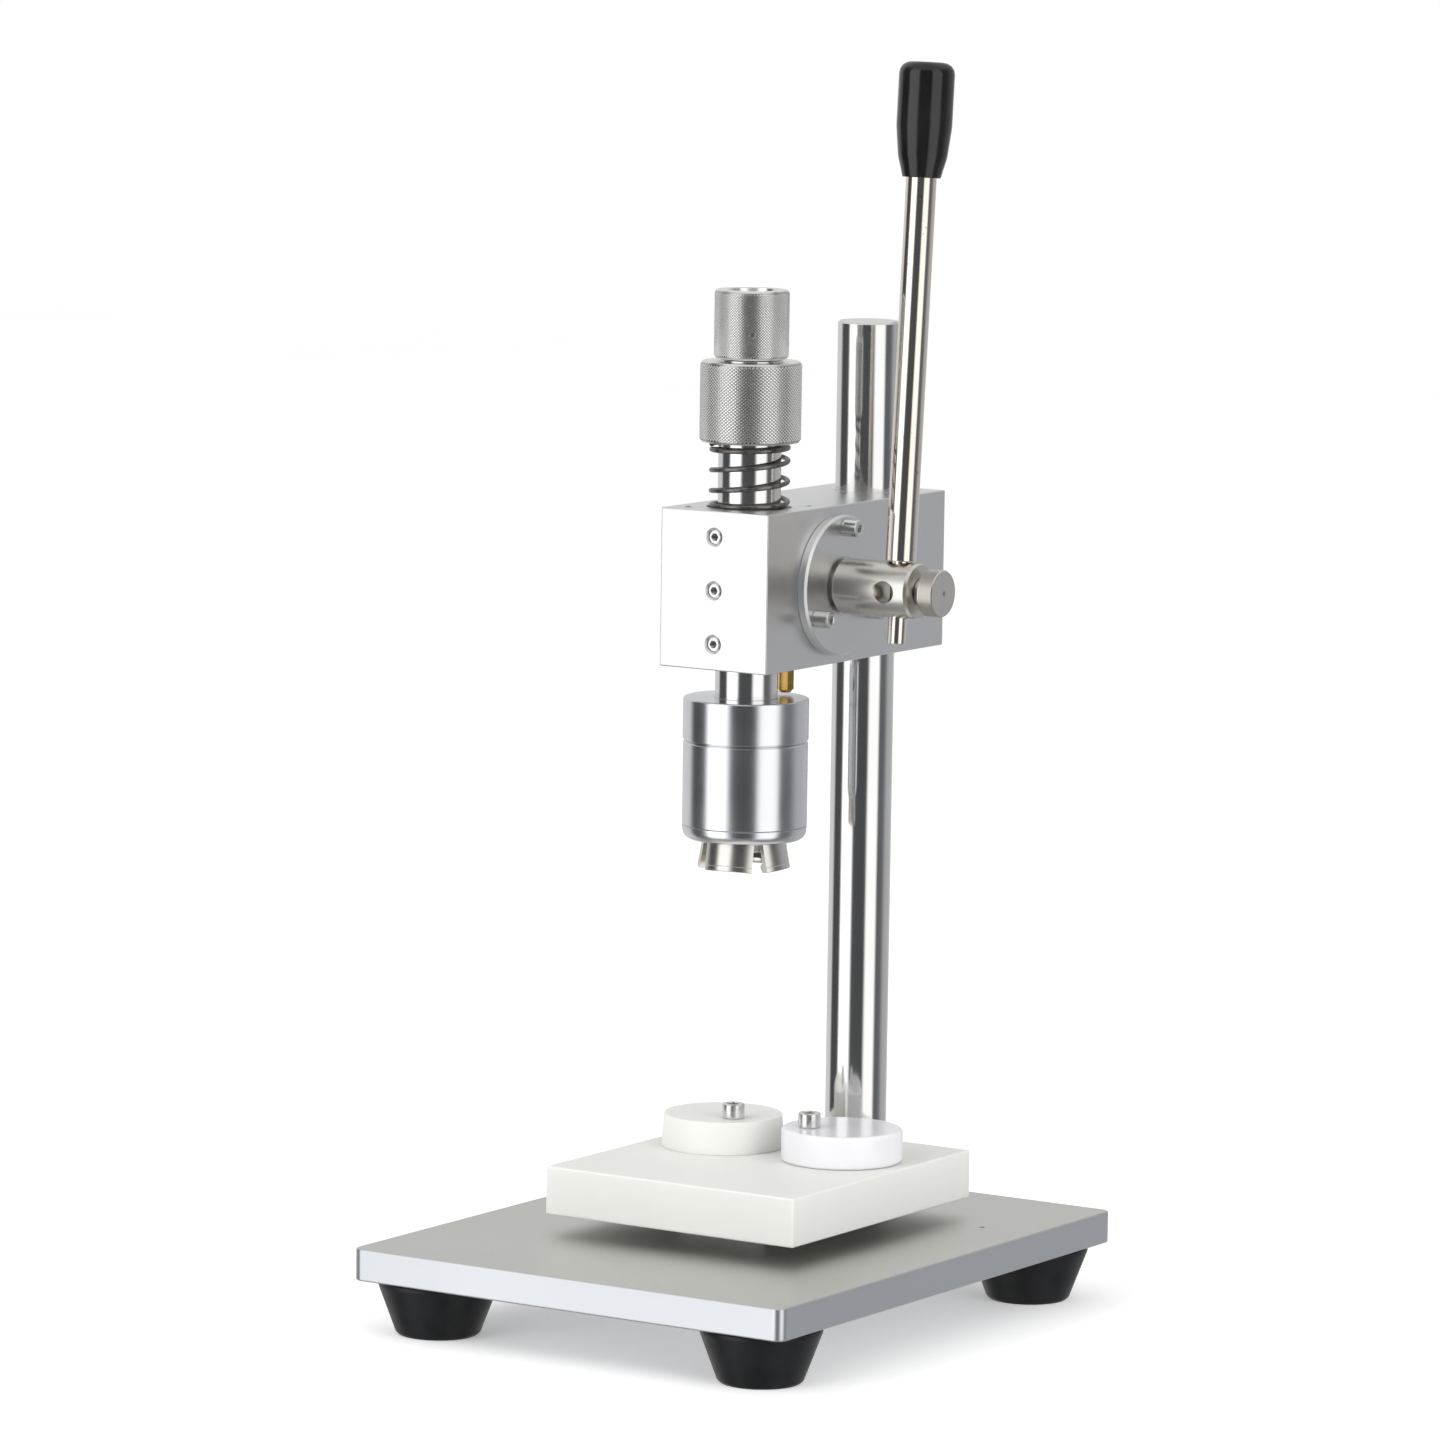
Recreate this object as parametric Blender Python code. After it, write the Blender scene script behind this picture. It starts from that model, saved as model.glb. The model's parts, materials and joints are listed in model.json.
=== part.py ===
"""Hand-lever capping machine for crimp-sealed bottles: a base plate on four rubber
feet, a round post, a head block locked on the post, a rack spindle driven by a lever
and pinion, and a crimp head with four splayed jaws.

The scene is in metres. The dimensions below are in millimetres, and MM turns them
into metres where a mesh is made. +Z is up, the operator stands at -Y, the lever is
on +X, and the origin is on the floor under the spindle's axis.
"""

from math import acos, cos, pi, radians, sin, tan

import bmesh
import bpy
from mathutils import Matrix, Vector

MM = 0.001

# Shared fits
GAP = 0.1  # between faces that rest on each other
RUN = 0.1  # radial, a shaft in its bore
ROUND = 32  # sides of a large turned piece
SMALL = 16  # sides of a screw
EXACT_FAILS_ON = ("base_plate", "head_block", "lever_hub", "bearing_flange")

# Base
PLATE_X, PLATE_Y, PLATE_T = 200.0, 250.0, 13.0
PLATE_CORNER, PLATE_EDGE = 4.0, 0.8
FOOT_H, FOOT_TOP_R, FOOT_END_R = 22.0, 24.2, 16.7
FOOT_INSET = 24.5
PLATE_LOW = FOOT_H
PLATE_TOP = FOOT_H + PLATE_T
MARK_XY, MARK_R, MARK_DEPTH = (76.3, 62.0), 1.2, 8.0
FOOT_SCREW_R, FOOT_SCREW_HEAD_R, FOOT_SCREW_HEAD_H, FOOT_SCREW_L = 2.45, 4.6, 4.5, 20.5
FOOT_BORE_R, FOOT_RECESS_R, FOOT_RECESS_H = 2.8, 7.0, 10.0

# Post
POST_Y, POST_R, POST_TOP = 87.5, 12.5, 393.6
POST_SINK = 4.0
BOLT_R, BOLT_HEAD_R, BOLT_HEAD_H = 4.9, 8.0, 5.8

# Platform on its riser
RISER_X, RISER_FRONT, RISER_BACK, RISER_H = 40.0, -12.0, 70.0, 7.0
RISER_SCREW_Y = (5.0, 53.0)
RISER_SCREW_R, RISER_HEAD_R, RISER_HEAD_H, RISER_SCREW_UP = 2.3, 4.3, 2.2, 10.0
PLATFORM_X, PLATFORM_FRONT, PLATFORM_BACK, PLATFORM_H = 116.5, -51.5, 82.0, 19.5
PLATFORM_LOW = PLATE_TOP + RISER_H
PLATFORM_TOP = PLATFORM_LOW + PLATFORM_H

# Loose change parts
PAD_R, PAD_H = 24.4, 13.2
PAD_DRAFT = 0.5  # how far the left pad's wall leans in at the top, and out at the foot
PAD_RIGHT, PAD_LEFT = (28.5, 31.5), (-27.5, 30.5)
BUSH_R, BUSH_BORE_R, BUSH_H = 4.5, 2.6, 6.0
BUSH_RIGHT, BUSH_LEFT = (18.0, 23.5), (-17.5, 22.5)

# Head block
BLOCK_X, BLOCK_FRONT, BLOCK_BACK = 50.0, -25.0, 108.0
BLOCK_LOW, BLOCK_TOP = 262.0, 325.0
SEAT_R, SEAT_DEPTH = 16.8, 2.0
KEY_SCREW_R, KEY_SCREW_STEP = 2.9, 21.2
KEY_X, KEY_OUT, KEY_IN = 5.6, 16.0, 10.9
KEY_LOW, KEY_TOP = 266.0, 307.2
CLAMP_R, CLAMP_Z = 3.9, (277.0, 310.0)
TOP_HOLE_R, TOP_HOLE_XY, TOP_HOLE_DEPTH = 2.5, 16.5, 9.0

# Rack and pinion
PINION_Y, PINION_Z = 25.0, 293.5
MODULE, TEETH, PRESSURE = 1.5, 19, radians(20)
PITCH_R = MODULE * TEETH / 2
ADDENDUM, DEDENDUM, BACKLASH = 1.2, 1.6, 0.2
GEAR_HALF_X = 9.0
RACK_LOW, RACK_TOP = 283.0, 319.5
SHAFT_R, SHAFT_LEFT, SHAFT_RIGHT = 8.0, -19.5, 46.8
GEARBOX_R, GEARBOX_LEFT = 16.4, -12.0
BEARING_R, BEARING_LEFT = 10.5, -20.0

# Bearing flange
FLANGE_R, FLANGE_X0, FLANGE_X1, FLANGE_BOSS_X = 28.1, 25.0, 29.0, 12.0
FLANGE_SCREW_PCR, FLANGE_SCREW_ANGLES = 23.0, (90, 210, 330)
FLANGE_SCREW_R, FLANGE_HEAD_R, FLANGE_HEAD_H = 1.95, 3.4, 7.0

# Lever
HUB_R, HUB_X0, HUB_X1, HUB_BORE_X = 11.15, 30.3, 64.5, 47.0
HUB_BEVEL, HUB_BEVEL_R = 1.3, 0.5  # its end's shallow bevel, along and across
LEVER_X, LEVER_LEAN = 54.8, radians(4)
SPIGOT_R, SPIGOT_HOLE_R, SPIGOT_END = 3.6, 3.8, -21.3
SPARE_X, SPARE_R, DISH_R, DISH_FOOT_R = 53.8, 4.4, 6.1, 3.3  # spare hole, dished mouths
ROD_R, ROD_FOOT, ROD_TOP = 6.0, 11.5, 196.0
GRIP_LOW, GRIP_TOP, GRIP_R = 162.5, 208.0, 11.0
THUMB_R, THUMB_X0, THUMB_X1, THUMB_STEM_R = 9.45, 68.3, 75.2, 2.9
THUMB_NECK_R, THUMB_DIMPLE_R = 5.2, 1.4

# Spindle and its adjusters
SPINDLE_R, SPINDLE_LOW, SPINDLE_TOP, SPINDLE_BORE_R = 12.5, 226.3, 383.3, 4.3
COLLAR_R, COLLAR_LOW, COLLAR_TOP = 20.1, 350.7, 382.5
KNOB_R, KNOB_LOW, KNOB_TOP = 14.8, 383.6, 410.7
KNOB_BOSS_R, KNOB_BOSS_LOW = 6.3, 376.0
KNOB_DOT_Z, KNOB_DOT_TURN = 393.7, radians(-57)
ROD_IN_R, ROD_IN_LOW, ROD_IN_TOP = 4.0, 190.5, 408.0
TIP_R, TIP_LOW, TIP_TOP = 7.2, 187.5, 198.5
SPRING_R, WIRE_R = 15.1, 1.0

# Crimp head
HEAD_COLLAR_R, HEAD_COLLAR_LOW, HEAD_COLLAR_TOP = 25.0, 232.0, 249.1
HEAD_SPIGOT_R, HEAD_SPIGOT_LOW = 18.85, 226.0
BELL_R, BELL_LOW = 24.8, 198.4
BELL_BORE_R, LEDGE_R, LEDGE_LOW, LEDGE_TOP = 19.0, 16.4, 204.5, 208.9
RING_LOW, RING_MOUTH_R, RING_SPIGOT_R, RING_SPIGOT_TOP = 192.6, 17.2, 18.4, 203.5
STOP_XY, STOP_HEX_R, STOP_TIP = (7.7, 16.7), 3.4, 250.1
STOP_CHAMFER, STOP_STEM_R, STOP_STEM_UP = 0.9, 2.4, 7.0

# Jaws
JAWS, JAW_PHASE = 4, radians(8.4)
JAW_PIVOT_R, JAW_PIVOT_Z = 13.0, 201.6
JAW_SPLAY = radians(10.5)
JAW_HALF, TONGUE_HALF = radians(42.8), radians(22)
CARRIER_BORE_R, CARRIER_TOP = 4.3, 212.0
BAND_R, BAND_Z, BAND_WIRE_R = 14.35, 206.3, 0.85
JAW_SPRING_R, JAW_WIRE_R = 7.2, 0.6


# ---------------------------------------------------------------- materials


def material(name, color, metallic, roughness):
    made = bpy.data.materials.new(name)
    made.use_nodes = True
    shader = made.node_tree.nodes["Principled BSDF"]
    shader.inputs["Base Color"].default_value = (*color, 1)
    shader.inputs["Metallic"].default_value = metallic
    shader.inputs["Roughness"].default_value = roughness
    return made


def make_materials():
    return {
        "plate": material("plate", (0.62, 0.62, 0.58), 1, 0.45),
        "aluminium": material("aluminium", (0.80, 0.80, 0.80), 1, 0.35),
        "turned": material("turned", (0.78, 0.79, 0.81), 1, 0.22),
        "chrome": material("chrome", (0.75, 0.75, 0.75), 1, 0.12),
        "nickel": material("nickel", (0.72, 0.68, 0.63), 1, 0.12),
        "steel": material("steel", (0.55, 0.54, 0.52), 1, 0.30),
        "dark_steel": material("dark_steel", (0.22, 0.21, 0.20), 1, 0.35),
        "brass": material("brass", (0.80, 0.58, 0.20), 1, 0.25),
        "rubber": material("rubber", (0.02, 0.02, 0.02), 0, 0.60),
        "grip": material("grip", (0.015, 0.015, 0.015), 0, 0.25),
        "nylon": material("nylon", (0.88, 0.88, 0.85), 0, 0.45),
    }


# ---------------------------------------------------------------- builders


def finish_mesh(name, bm, mat, at=None):
    """Makes the object. Its mesh stays in the builder's own frame, whose origin and
    turn the placing gives, so a piece made about its joint's axis has its origin there."""
    bmesh.ops.recalc_face_normals(bm, faces=bm.faces)
    bm.transform(Matrix.Scale(MM, 4))
    mesh = bpy.data.meshes.new(name)
    bm.to_mesh(mesh)
    bm.free()
    if mat is not None:
        mesh.materials.append(mat)
    obj = bpy.data.objects.new(name, mesh)
    bpy.context.collection.objects.link(obj)
    if at is not None:
        obj.location = at.to_translation() * MM
        obj.rotation_euler = at.to_euler()
    return obj


def skin(bm, rings, closed_round):
    """Faces between successive rings, and from the last back to the first."""
    count = len(rings[0])
    steps = count if closed_round else count - 1
    for low, high in zip(rings, rings[1:] + rings[:1]):
        for i in range(steps):
            j = (i + 1) % count
            corners = list(dict.fromkeys((low[i], low[j], high[j], high[i])))
            if len(corners) > 2:
                bm.faces.new(corners)


def ring_of(bm, r, z, angles):
    if r == 0:
        return [bm.verts.new((0, 0, z))] * len(angles)
    return [bm.verts.new((r * cos(a), r * sin(a), z)) for a in angles]


def lathe(name, profile, mat=None, at=None, sides=ROUND):
    """A turned solid about Z from a closed loop of (radius, height)."""
    bm = bmesh.new()
    angles = [2 * pi * i / sides for i in range(sides)]
    skin(bm, [ring_of(bm, r, z, angles) for r, z in profile], True)
    return finish_mesh(name, bm, mat, at)


def sector(name, profile, half, mat, at, origin, steps=12):
    """A slice of a turned solid, from -half to +half about +X, with its own origin at
    the given point of the profile's frame."""
    bm = bmesh.new()
    angles = [half * (2 * i / steps - 1) for i in range(steps + 1)]
    rings = [ring_of(bm, r, z, angles) for r, z in profile]
    skin(bm, rings, False)
    bm.faces.new([ring[0] for ring in rings])
    bm.faces.new([ring[-1] for ring in rings])
    bm.transform(Matrix.Translation(-origin))
    return finish_mesh(name, bm, mat, at)


def prism(name, outline, low, high, mat=None, at=None):
    """A straight solid along Z with an outline of (x, y)."""
    bm = bmesh.new()
    rings = [[bm.verts.new((x, y, z)) for x, y in outline] for z in (low, high)]
    bm.faces.new(rings[0])
    bm.faces.new(rings[1])
    for i in range(len(outline)):
        j = (i + 1) % len(outline)
        bm.faces.new((rings[0][i], rings[0][j], rings[1][j], rings[1][i]))
    return finish_mesh(name, bm, mat, at)


def block(name, low, high, mat=None, edge=0.0, corner=0.0):
    """A box between two corners, with its upright edges rounded by corner and every
    other edge broken by edge."""
    bm = bmesh.new()
    bmesh.ops.create_cube(bm, size=1)
    middle = [(a + b) / 2 for a, b in zip(low, high)]
    size = [b - a for a, b in zip(low, high)]
    bm.transform(Matrix.Translation(middle) @ Matrix.Diagonal((*size, 1)))
    if corner:
        upright = [e for e in bm.edges if abs(e.verts[0].co.z - e.verts[1].co.z) > 1e-6]
        bmesh.ops.bevel(
            bm, geom=upright, offset=corner, segments=4, affect="EDGES", profile=0.5
        )
    if edge:
        chosen = [
            e
            for e in bm.edges
            if not corner or abs(e.verts[0].co.z - e.verts[1].co.z) < 1e-6
        ]
        bmesh.ops.bevel(bm, geom=chosen, offset=edge, segments=1, affect="EDGES")
    return finish_mesh(name, bm, mat)


def coil(name, radius, wire, low, high, ends, turns, mat, steps=18, sides=6):
    """A compression spring about Z, with closed coils at both ends."""
    rise_closed = 2 * wire * 1.06
    total = turns + 2 * ends
    rise_open = (high - low - 2 * wire - 2 * ends * rise_closed) / turns
    centres = []
    for i in range(round(total * steps) + 1):
        t = i / steps
        z = low + wire + min(t, ends) * rise_closed
        z += min(max(t - ends, 0), turns) * rise_open
        z += max(t - ends - turns, 0) * rise_closed
        centres.append((2 * pi * t, z))
    bm = bmesh.new()
    rings = []
    for a, z in centres:
        out = Vector((cos(a), sin(a), 0))
        rings.append(
            [
                bm.verts.new(
                    out * (radius + wire * cos(2 * pi * k / sides))
                    + Vector((0, 0, z + wire * sin(2 * pi * k / sides)))
                )
                for k in range(sides)
            ]
        )
    for one, two in zip(rings, rings[1:]):
        for k in range(sides):
            j = (k + 1) % sides
            bm.faces.new((one[k], one[j], two[j], two[k]))
    bm.faces.new(rings[0])
    bm.faces.new(rings[-1])
    return finish_mesh(name, bm, mat)


def towards(origin, direction):
    """A placing whose local Z runs from origin along direction."""
    turn = Vector(direction).to_track_quat("Z", "Y").to_matrix().to_4x4()
    return Matrix.Translation(origin) @ turn


def combine(obj, tool, operation):
    """Adds a Boolean, with the EXACT solver unless EXACT leaves that node open."""
    modifier = obj.modifiers.new(tool.name, "BOOLEAN")
    modifier.operation = operation
    modifier.solver = "MANIFOLD" if obj.name in EXACT_FAILS_ON else "EXACT"
    modifier.object = tool
    tool.hide_render = True
    tool.display_type = "WIRE"
    return obj


def cut(obj, tool):
    return combine(obj, tool, "DIFFERENCE")


def join(obj, other):
    return combine(obj, other, "UNION")


def drill(obj, radius, start, end, sides=SMALL, end_radius=None):
    """A round hole from start to end, or a cone when end_radius is given."""
    run = Vector(end) - Vector(start)
    last = radius if end_radius is None else end_radius
    profile = [(0, 0), (radius, 0), (last, run.length), (0, run.length)]
    at = towards(start, run)
    return cut(obj, lathe(obj.name + "_drill", profile, at=at, sides=sides))


def hexagon(corner_r, turn=0.0):
    angles = [turn + pi * k / 3 for k in range(6)]
    return [(corner_r * cos(a), corner_r * sin(a)) for a in angles]


def socket(obj, across, start, direction, depth):
    """A hexagon socket sunk from start along direction."""
    tool = prism(
        obj.name + "_socket", hexagon(across / 3**0.5), -1, depth, at=towards(start, direction)
    )
    return cut(obj, tool)


def cap_screw(name, head_r, head_h, shank_r, length, across, at, mat, sides=SMALL):
    """A socket-head screw: its head starts at local 0 and rises, its shank goes down."""
    profile = [
        (0, -length),
        (shank_r, -length),
        (shank_r, 0),
        (head_r, 0),
        (head_r, head_h - 0.4),
        (head_r - 0.4, head_h),
        (0, head_h),
    ]
    screw = lathe(name, profile, mat, at, sides)
    place = at @ Vector((0, 0, head_h))
    inward = at.to_3x3() @ Vector((0, 0, -1))
    return socket(screw, across, place, inward, head_h * 0.55)


def grub_screw(name, radius, outer, inward, length, across, mat):
    """A headless socket screw from its outer end, along inward."""
    profile = [
        (0, 0),
        (radius - 0.4, 0),
        (radius, 0.4),
        (radius, length - 0.8),
        (radius - 0.8, length),
        (0, length),
    ]
    screw = lathe(name, profile, mat, towards(outer, inward), SMALL)
    return socket(screw, across, outer, inward, min(3.2, length * 0.4))


# ---------------------------------------------------------------- base


def foot_centres():
    x, y = PLATE_X / 2 - FOOT_INSET, PLATE_Y / 2 - FOOT_INSET
    return [(-x, -y), (x, -y), (x, y), (-x, y)]


def base_plate(mats):
    plate = block(
        "base_plate",
        (-PLATE_X / 2, -PLATE_Y / 2, PLATE_LOW),
        (PLATE_X / 2, PLATE_Y / 2, PLATE_TOP),
        mats["plate"],
        PLATE_EDGE,
        PLATE_CORNER,
    )
    sink = PLATE_TOP - POST_SINK
    drill(plate, POST_R + RUN, (0, POST_Y, sink), (0, POST_Y, PLATE_TOP + 1), ROUND)
    drill(plate, BOLT_R + 0.3, (0, POST_Y, PLATE_LOW - 1), (0, POST_Y, PLATE_TOP))
    head_top = PLATE_LOW + BOLT_HEAD_H + 2 * GAP
    drill(plate, BOLT_HEAD_R + 0.8, (0, POST_Y, PLATE_LOW - 1), (0, POST_Y, head_top))
    for x, y in foot_centres():
        reach = FOOT_SCREW_L - (PLATE_LOW - FOOT_RECESS_H) + 1
        drill(plate, FOOT_SCREW_R + 0.15, (x, y, PLATE_LOW - 1), (x, y, PLATE_LOW + reach), 16)
    for y in RISER_SCREW_Y:
        hole = RISER_SCREW_R + 0.4
        drill(plate, hole, (0, y, PLATE_LOW - 1), (0, y, PLATE_TOP + 1), 16)
        sink_r, sink_top = RISER_HEAD_R + 1.9, PLATE_LOW + RISER_HEAD_H + 0.6
        drill(plate, sink_r, (0, y, PLATE_LOW - 1), (0, y, sink_top), 24, RISER_SCREW_R + 0.1)
    drill(plate, MARK_R, (*MARK_XY, PLATE_TOP - MARK_DEPTH), (*MARK_XY, PLATE_TOP + 1), 12)
    return plate


def feet(mats):
    top = PLATE_LOW - GAP
    for n, (x, y) in enumerate(foot_centres(), 1):
        profile = [
            (FOOT_BORE_R, top),
            (FOOT_TOP_R - 0.8, top),
            (FOOT_TOP_R, top - 0.8),
            (FOOT_TOP_R - 0.3, top - 2.0),
            (FOOT_END_R + 0.3, 1.2),
            (FOOT_END_R - 0.9, 0),
            (FOOT_RECESS_R, 0),
            (FOOT_RECESS_R, FOOT_RECESS_H),
            (FOOT_BORE_R, FOOT_RECESS_H),
        ]
        lathe(f"foot_{n}", profile, mats["rubber"], Matrix.Translation((x, y, 0)), 20)
        at = Matrix.Translation((x, y, FOOT_RECESS_H - GAP)) @ Matrix.Rotation(pi, 4, "X")
        head = (FOOT_SCREW_HEAD_R, FOOT_SCREW_HEAD_H)
        cap_screw(f"foot_screw_{n}", *head, FOOT_SCREW_R, FOOT_SCREW_L, 4.0, at, mats["steel"])


def riser_block(mats):
    riser = block(
        "riser_block",
        (-RISER_X / 2, RISER_FRONT, PLATE_TOP + GAP / 2),
        (RISER_X / 2, RISER_BACK, PLATFORM_LOW - GAP / 2),
        mats["aluminium"],
    )
    for y in RISER_SCREW_Y:
        hole = RISER_SCREW_R + 0.4
        drill(riser, hole, (0, y, PLATE_TOP - 1), (0, y, PLATFORM_LOW + 1), 16)
    return riser


def platform(mats):
    slab = block(
        "platform",
        (-PLATFORM_X / 2, PLATFORM_FRONT, PLATFORM_LOW),
        (PLATFORM_X / 2, PLATFORM_BACK, PLATFORM_TOP),
        mats["nylon"],
        0.7,
    )
    drill(
        slab,
        POST_R + 0.5,
        (0, POST_Y, PLATFORM_LOW - 1),
        (0, POST_Y, PLATFORM_TOP + 1),
        ROUND,
    )
    for y in RISER_SCREW_Y:
        top = PLATFORM_LOW + RISER_SCREW_UP + 2
        drill(slab, RISER_SCREW_R + 0.3, (0, y, PLATFORM_LOW - 1), (0, y, top), 16)
    return slab


def platform_screws(mats):
    low = PLATE_LOW + 0.3
    for n, y in enumerate(RISER_SCREW_Y, 1):
        profile = [
            (0, 0),
            (RISER_HEAD_R, 0),
            (RISER_HEAD_R, 0.2),
            (RISER_SCREW_R, 0.2 + RISER_HEAD_H),
            (RISER_SCREW_R, PLATFORM_LOW + RISER_SCREW_UP - low),
            (0, PLATFORM_LOW + RISER_SCREW_UP - low),
        ]
        at = Matrix.Translation((0, y, low))
        screw = lathe(f"platform_screw_{n}", profile, mats["steel"], at, 16)
        socket(screw, 3.0, (0, y, low), (0, 0, 1), 1.6)


def post(mats):
    low = PLATE_TOP - POST_SINK + GAP
    profile = [
        (0, low + 24),
        (BOLT_R + 0.2, low + 24),
        (BOLT_R + 0.2, low),
        (POST_R, low),
        (POST_R, POST_TOP - 0.9),
        (POST_R - 0.9, POST_TOP),
        (0, POST_TOP),
    ]
    at = Matrix.Translation((0, POST_Y, 0))
    lathe("post", profile, mats["chrome"], at)
    head = PLATE_LOW + BOLT_HEAD_H + GAP
    at = Matrix.Translation((0, POST_Y, head)) @ Matrix.Rotation(pi, 4, "X")
    length = low + 20 - head
    cap_screw("post_bolt", BOLT_HEAD_R, BOLT_HEAD_H - GAP, BOLT_R, length, 8.0, at, mats["steel"])


def change_parts(mats):
    low = PLATFORM_TOP + GAP / 2
    top = low + PAD_H
    rounded = [
        (0, low),
        (PAD_R - 1.2, low),
        (PAD_R - 0.35, low + 0.35),
        (PAD_R, low + 1.2),
        (PAD_R, top - 1.2),
        (PAD_R - 0.35, top - 0.35),
        (PAD_R - 1.2, top),
        (0, top),
    ]
    tapered = [
        (0, low),
        (PAD_R + PAD_DRAFT, low),
        (PAD_R - PAD_DRAFT, top),
        (0, top),
    ]
    foot = top + GAP / 2
    sleeve = [
        (BUSH_BORE_R + 0.4, foot),
        (BUSH_R - 0.4, foot),
        (BUSH_R, foot + 0.4),
        (BUSH_R, foot + BUSH_H - 0.4),
        (BUSH_R - 0.4, foot + BUSH_H),
        (BUSH_BORE_R + 0.4, foot + BUSH_H),
        (BUSH_BORE_R, foot + BUSH_H - 0.4),
        (BUSH_BORE_R, foot + 0.4),
    ]
    for side, disc, pad, bush in (
        ("right", rounded, PAD_RIGHT, BUSH_RIGHT),
        ("left", tapered, PAD_LEFT, BUSH_LEFT),
    ):
        lathe(f"pad_{side}", disc, mats["nylon"], Matrix.Translation((*pad, 0)))
        at = Matrix.Translation((*bush, 0))
        lathe(f"bush_{side}", sleeve, mats["steel"], at, 20)


# ---------------------------------------------------------------- head


def flange_screw_spots():
    return [
        (
            PINION_Y + FLANGE_SCREW_PCR * cos(radians(a)),
            PINION_Z + FLANGE_SCREW_PCR * sin(radians(a)),
        )
        for a in FLANGE_SCREW_ANGLES
    ]


def key_screw_heights():
    return [PINION_Z + KEY_SCREW_STEP * n for n in (-1, 0, 1)]


def head_block(mats):
    body = block(
        "head_block",
        (-BLOCK_X / 2, BLOCK_FRONT, BLOCK_LOW),
        (BLOCK_X / 2, BLOCK_BACK, BLOCK_TOP),
        mats["aluminium"],
        0.5,
    )
    low, high = BLOCK_LOW - 1, BLOCK_TOP + 1
    drill(body, SPINDLE_R + RUN, (0, 0, low), (0, 0, high), ROUND)
    drill(body, SEAT_R, (0, 0, BLOCK_TOP - SEAT_DEPTH), (0, 0, high), ROUND)
    drill(body, POST_R + RUN, (0, POST_Y, low), (0, POST_Y, high), ROUND)
    axis = (PINION_Y, PINION_Z)
    drill(body, GEARBOX_R, (GEARBOX_LEFT, *axis), (BLOCK_X / 2 + 1, *axis), ROUND)
    drill(body, BEARING_R + RUN, (BEARING_LEFT, *axis), (0, *axis), 28)
    for y, z in flange_screw_spots():
        drill(body, FLANGE_SCREW_R + 0.15, (BLOCK_X / 2 - 10, y, z), (BLOCK_X / 2 + 1, y, z), 16)
    for z in key_screw_heights():
        drill(body, KEY_SCREW_R + 0.15, (0, -SPINDLE_R + 1, z), (0, BLOCK_FRONT - 1, z), 16)
    slot = block(
        "key_slot",
        (-KEY_X / 2 - 0.2, -KEY_OUT - 0.2, KEY_LOW - 0.2),
        (KEY_X / 2 + 0.2, -8, KEY_TOP + 0.2),
    )
    cut(body, slot)
    for z in CLAMP_Z:
        drill(body, CLAMP_R + 0.15, (-8, POST_Y, z), (-BLOCK_X / 2 - 1, POST_Y, z), 20)
    for sign in (-1, 1):
        x = y = sign * TOP_HOLE_XY
        drill(body, TOP_HOLE_R, (x, y, BLOCK_TOP - TOP_HOLE_DEPTH), (x, y, high), 16)
    drill(body, STOP_STEM_R + 0.2, (*STOP_XY, low), (*STOP_XY, BLOCK_LOW + STOP_STEM_UP + 1), 16)
    return body


def head_screws(mats):
    for n, z in enumerate(key_screw_heights(), 1):
        inner = -KEY_OUT - 0.15 if z < KEY_TOP - 2 else -SPINDLE_R - 0.6
        outer = (0, BLOCK_FRONT + 0.3, z)
        length = inner - outer[1]
        name = f"key_screw_{n}"
        grub_screw(name, KEY_SCREW_R, outer, (0, 1, 0), length, 3.0, mats["steel"])
    for n, z in enumerate(CLAMP_Z, 1):
        outer = (-BLOCK_X / 2 + 0.5, POST_Y, z)
        length = -POST_R - 0.15 - outer[0]
        name = f"clamp_screw_{n}"
        grub_screw(name, CLAMP_R, outer, (1, 0, 0), length, 4.0, mats["dark_steel"])


def guide_key(mats):
    return block(
        "guide_key",
        (-KEY_X / 2, -KEY_OUT, KEY_LOW),
        (KEY_X / 2, -KEY_IN, KEY_TOP),
        mats["brass"],
    )


def up_stop(mats):
    """The brass stop that the head collar rises against."""
    low = STOP_TIP + STOP_CHAMFER
    at = Matrix.Translation((*STOP_XY, 0))
    outline = hexagon(STOP_HEX_R, 0.3)
    hexed = prism("up_stop", outline, low, BLOCK_LOW - GAP, mats["brass"], at)
    turned = [
        (0, STOP_TIP),
        (STOP_HEX_R * 0.6, STOP_TIP),
        (STOP_HEX_R * 0.85, low + 0.1),
        (STOP_STEM_R, low + 1),
        (STOP_STEM_R, BLOCK_LOW + STOP_STEM_UP),
        (0, BLOCK_LOW + STOP_STEM_UP),
    ]
    stem = lathe("up_stop_stem", turned, None, at, 16)
    return join(hexed, stem)


def bearing_flange(mats):
    profile = [
        (SHAFT_R + RUN, FLANGE_BOSS_X),
        (GEARBOX_R - RUN, FLANGE_BOSS_X),
        (GEARBOX_R - RUN, FLANGE_X0 + GAP),
        (FLANGE_R, FLANGE_X0 + GAP),
        (FLANGE_R, FLANGE_X1 - 1.2),
        (FLANGE_R - 1.2, FLANGE_X1),
        (SHAFT_R + RUN, FLANGE_X1),
    ]
    at = towards((0, PINION_Y, PINION_Z), (1, 0, 0))
    flange = lathe("bearing_flange", profile, mats["aluminium"], at)
    for n, (y, z) in enumerate(flange_screw_spots(), 1):
        drill(flange, FLANGE_SCREW_R + 0.15, (FLANGE_X0 - 1, y, z), (FLANGE_X1 + 1, y, z), 16)
        cap_screw(
            f"flange_screw_{n}",
            FLANGE_HEAD_R,
            FLANGE_HEAD_H,
            FLANGE_SCREW_R,
            13.5,
            3.0,
            towards((FLANGE_X1 + GAP, y, z), (1, 0, 0)),
            mats["steel"],
        )
    return flange


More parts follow.
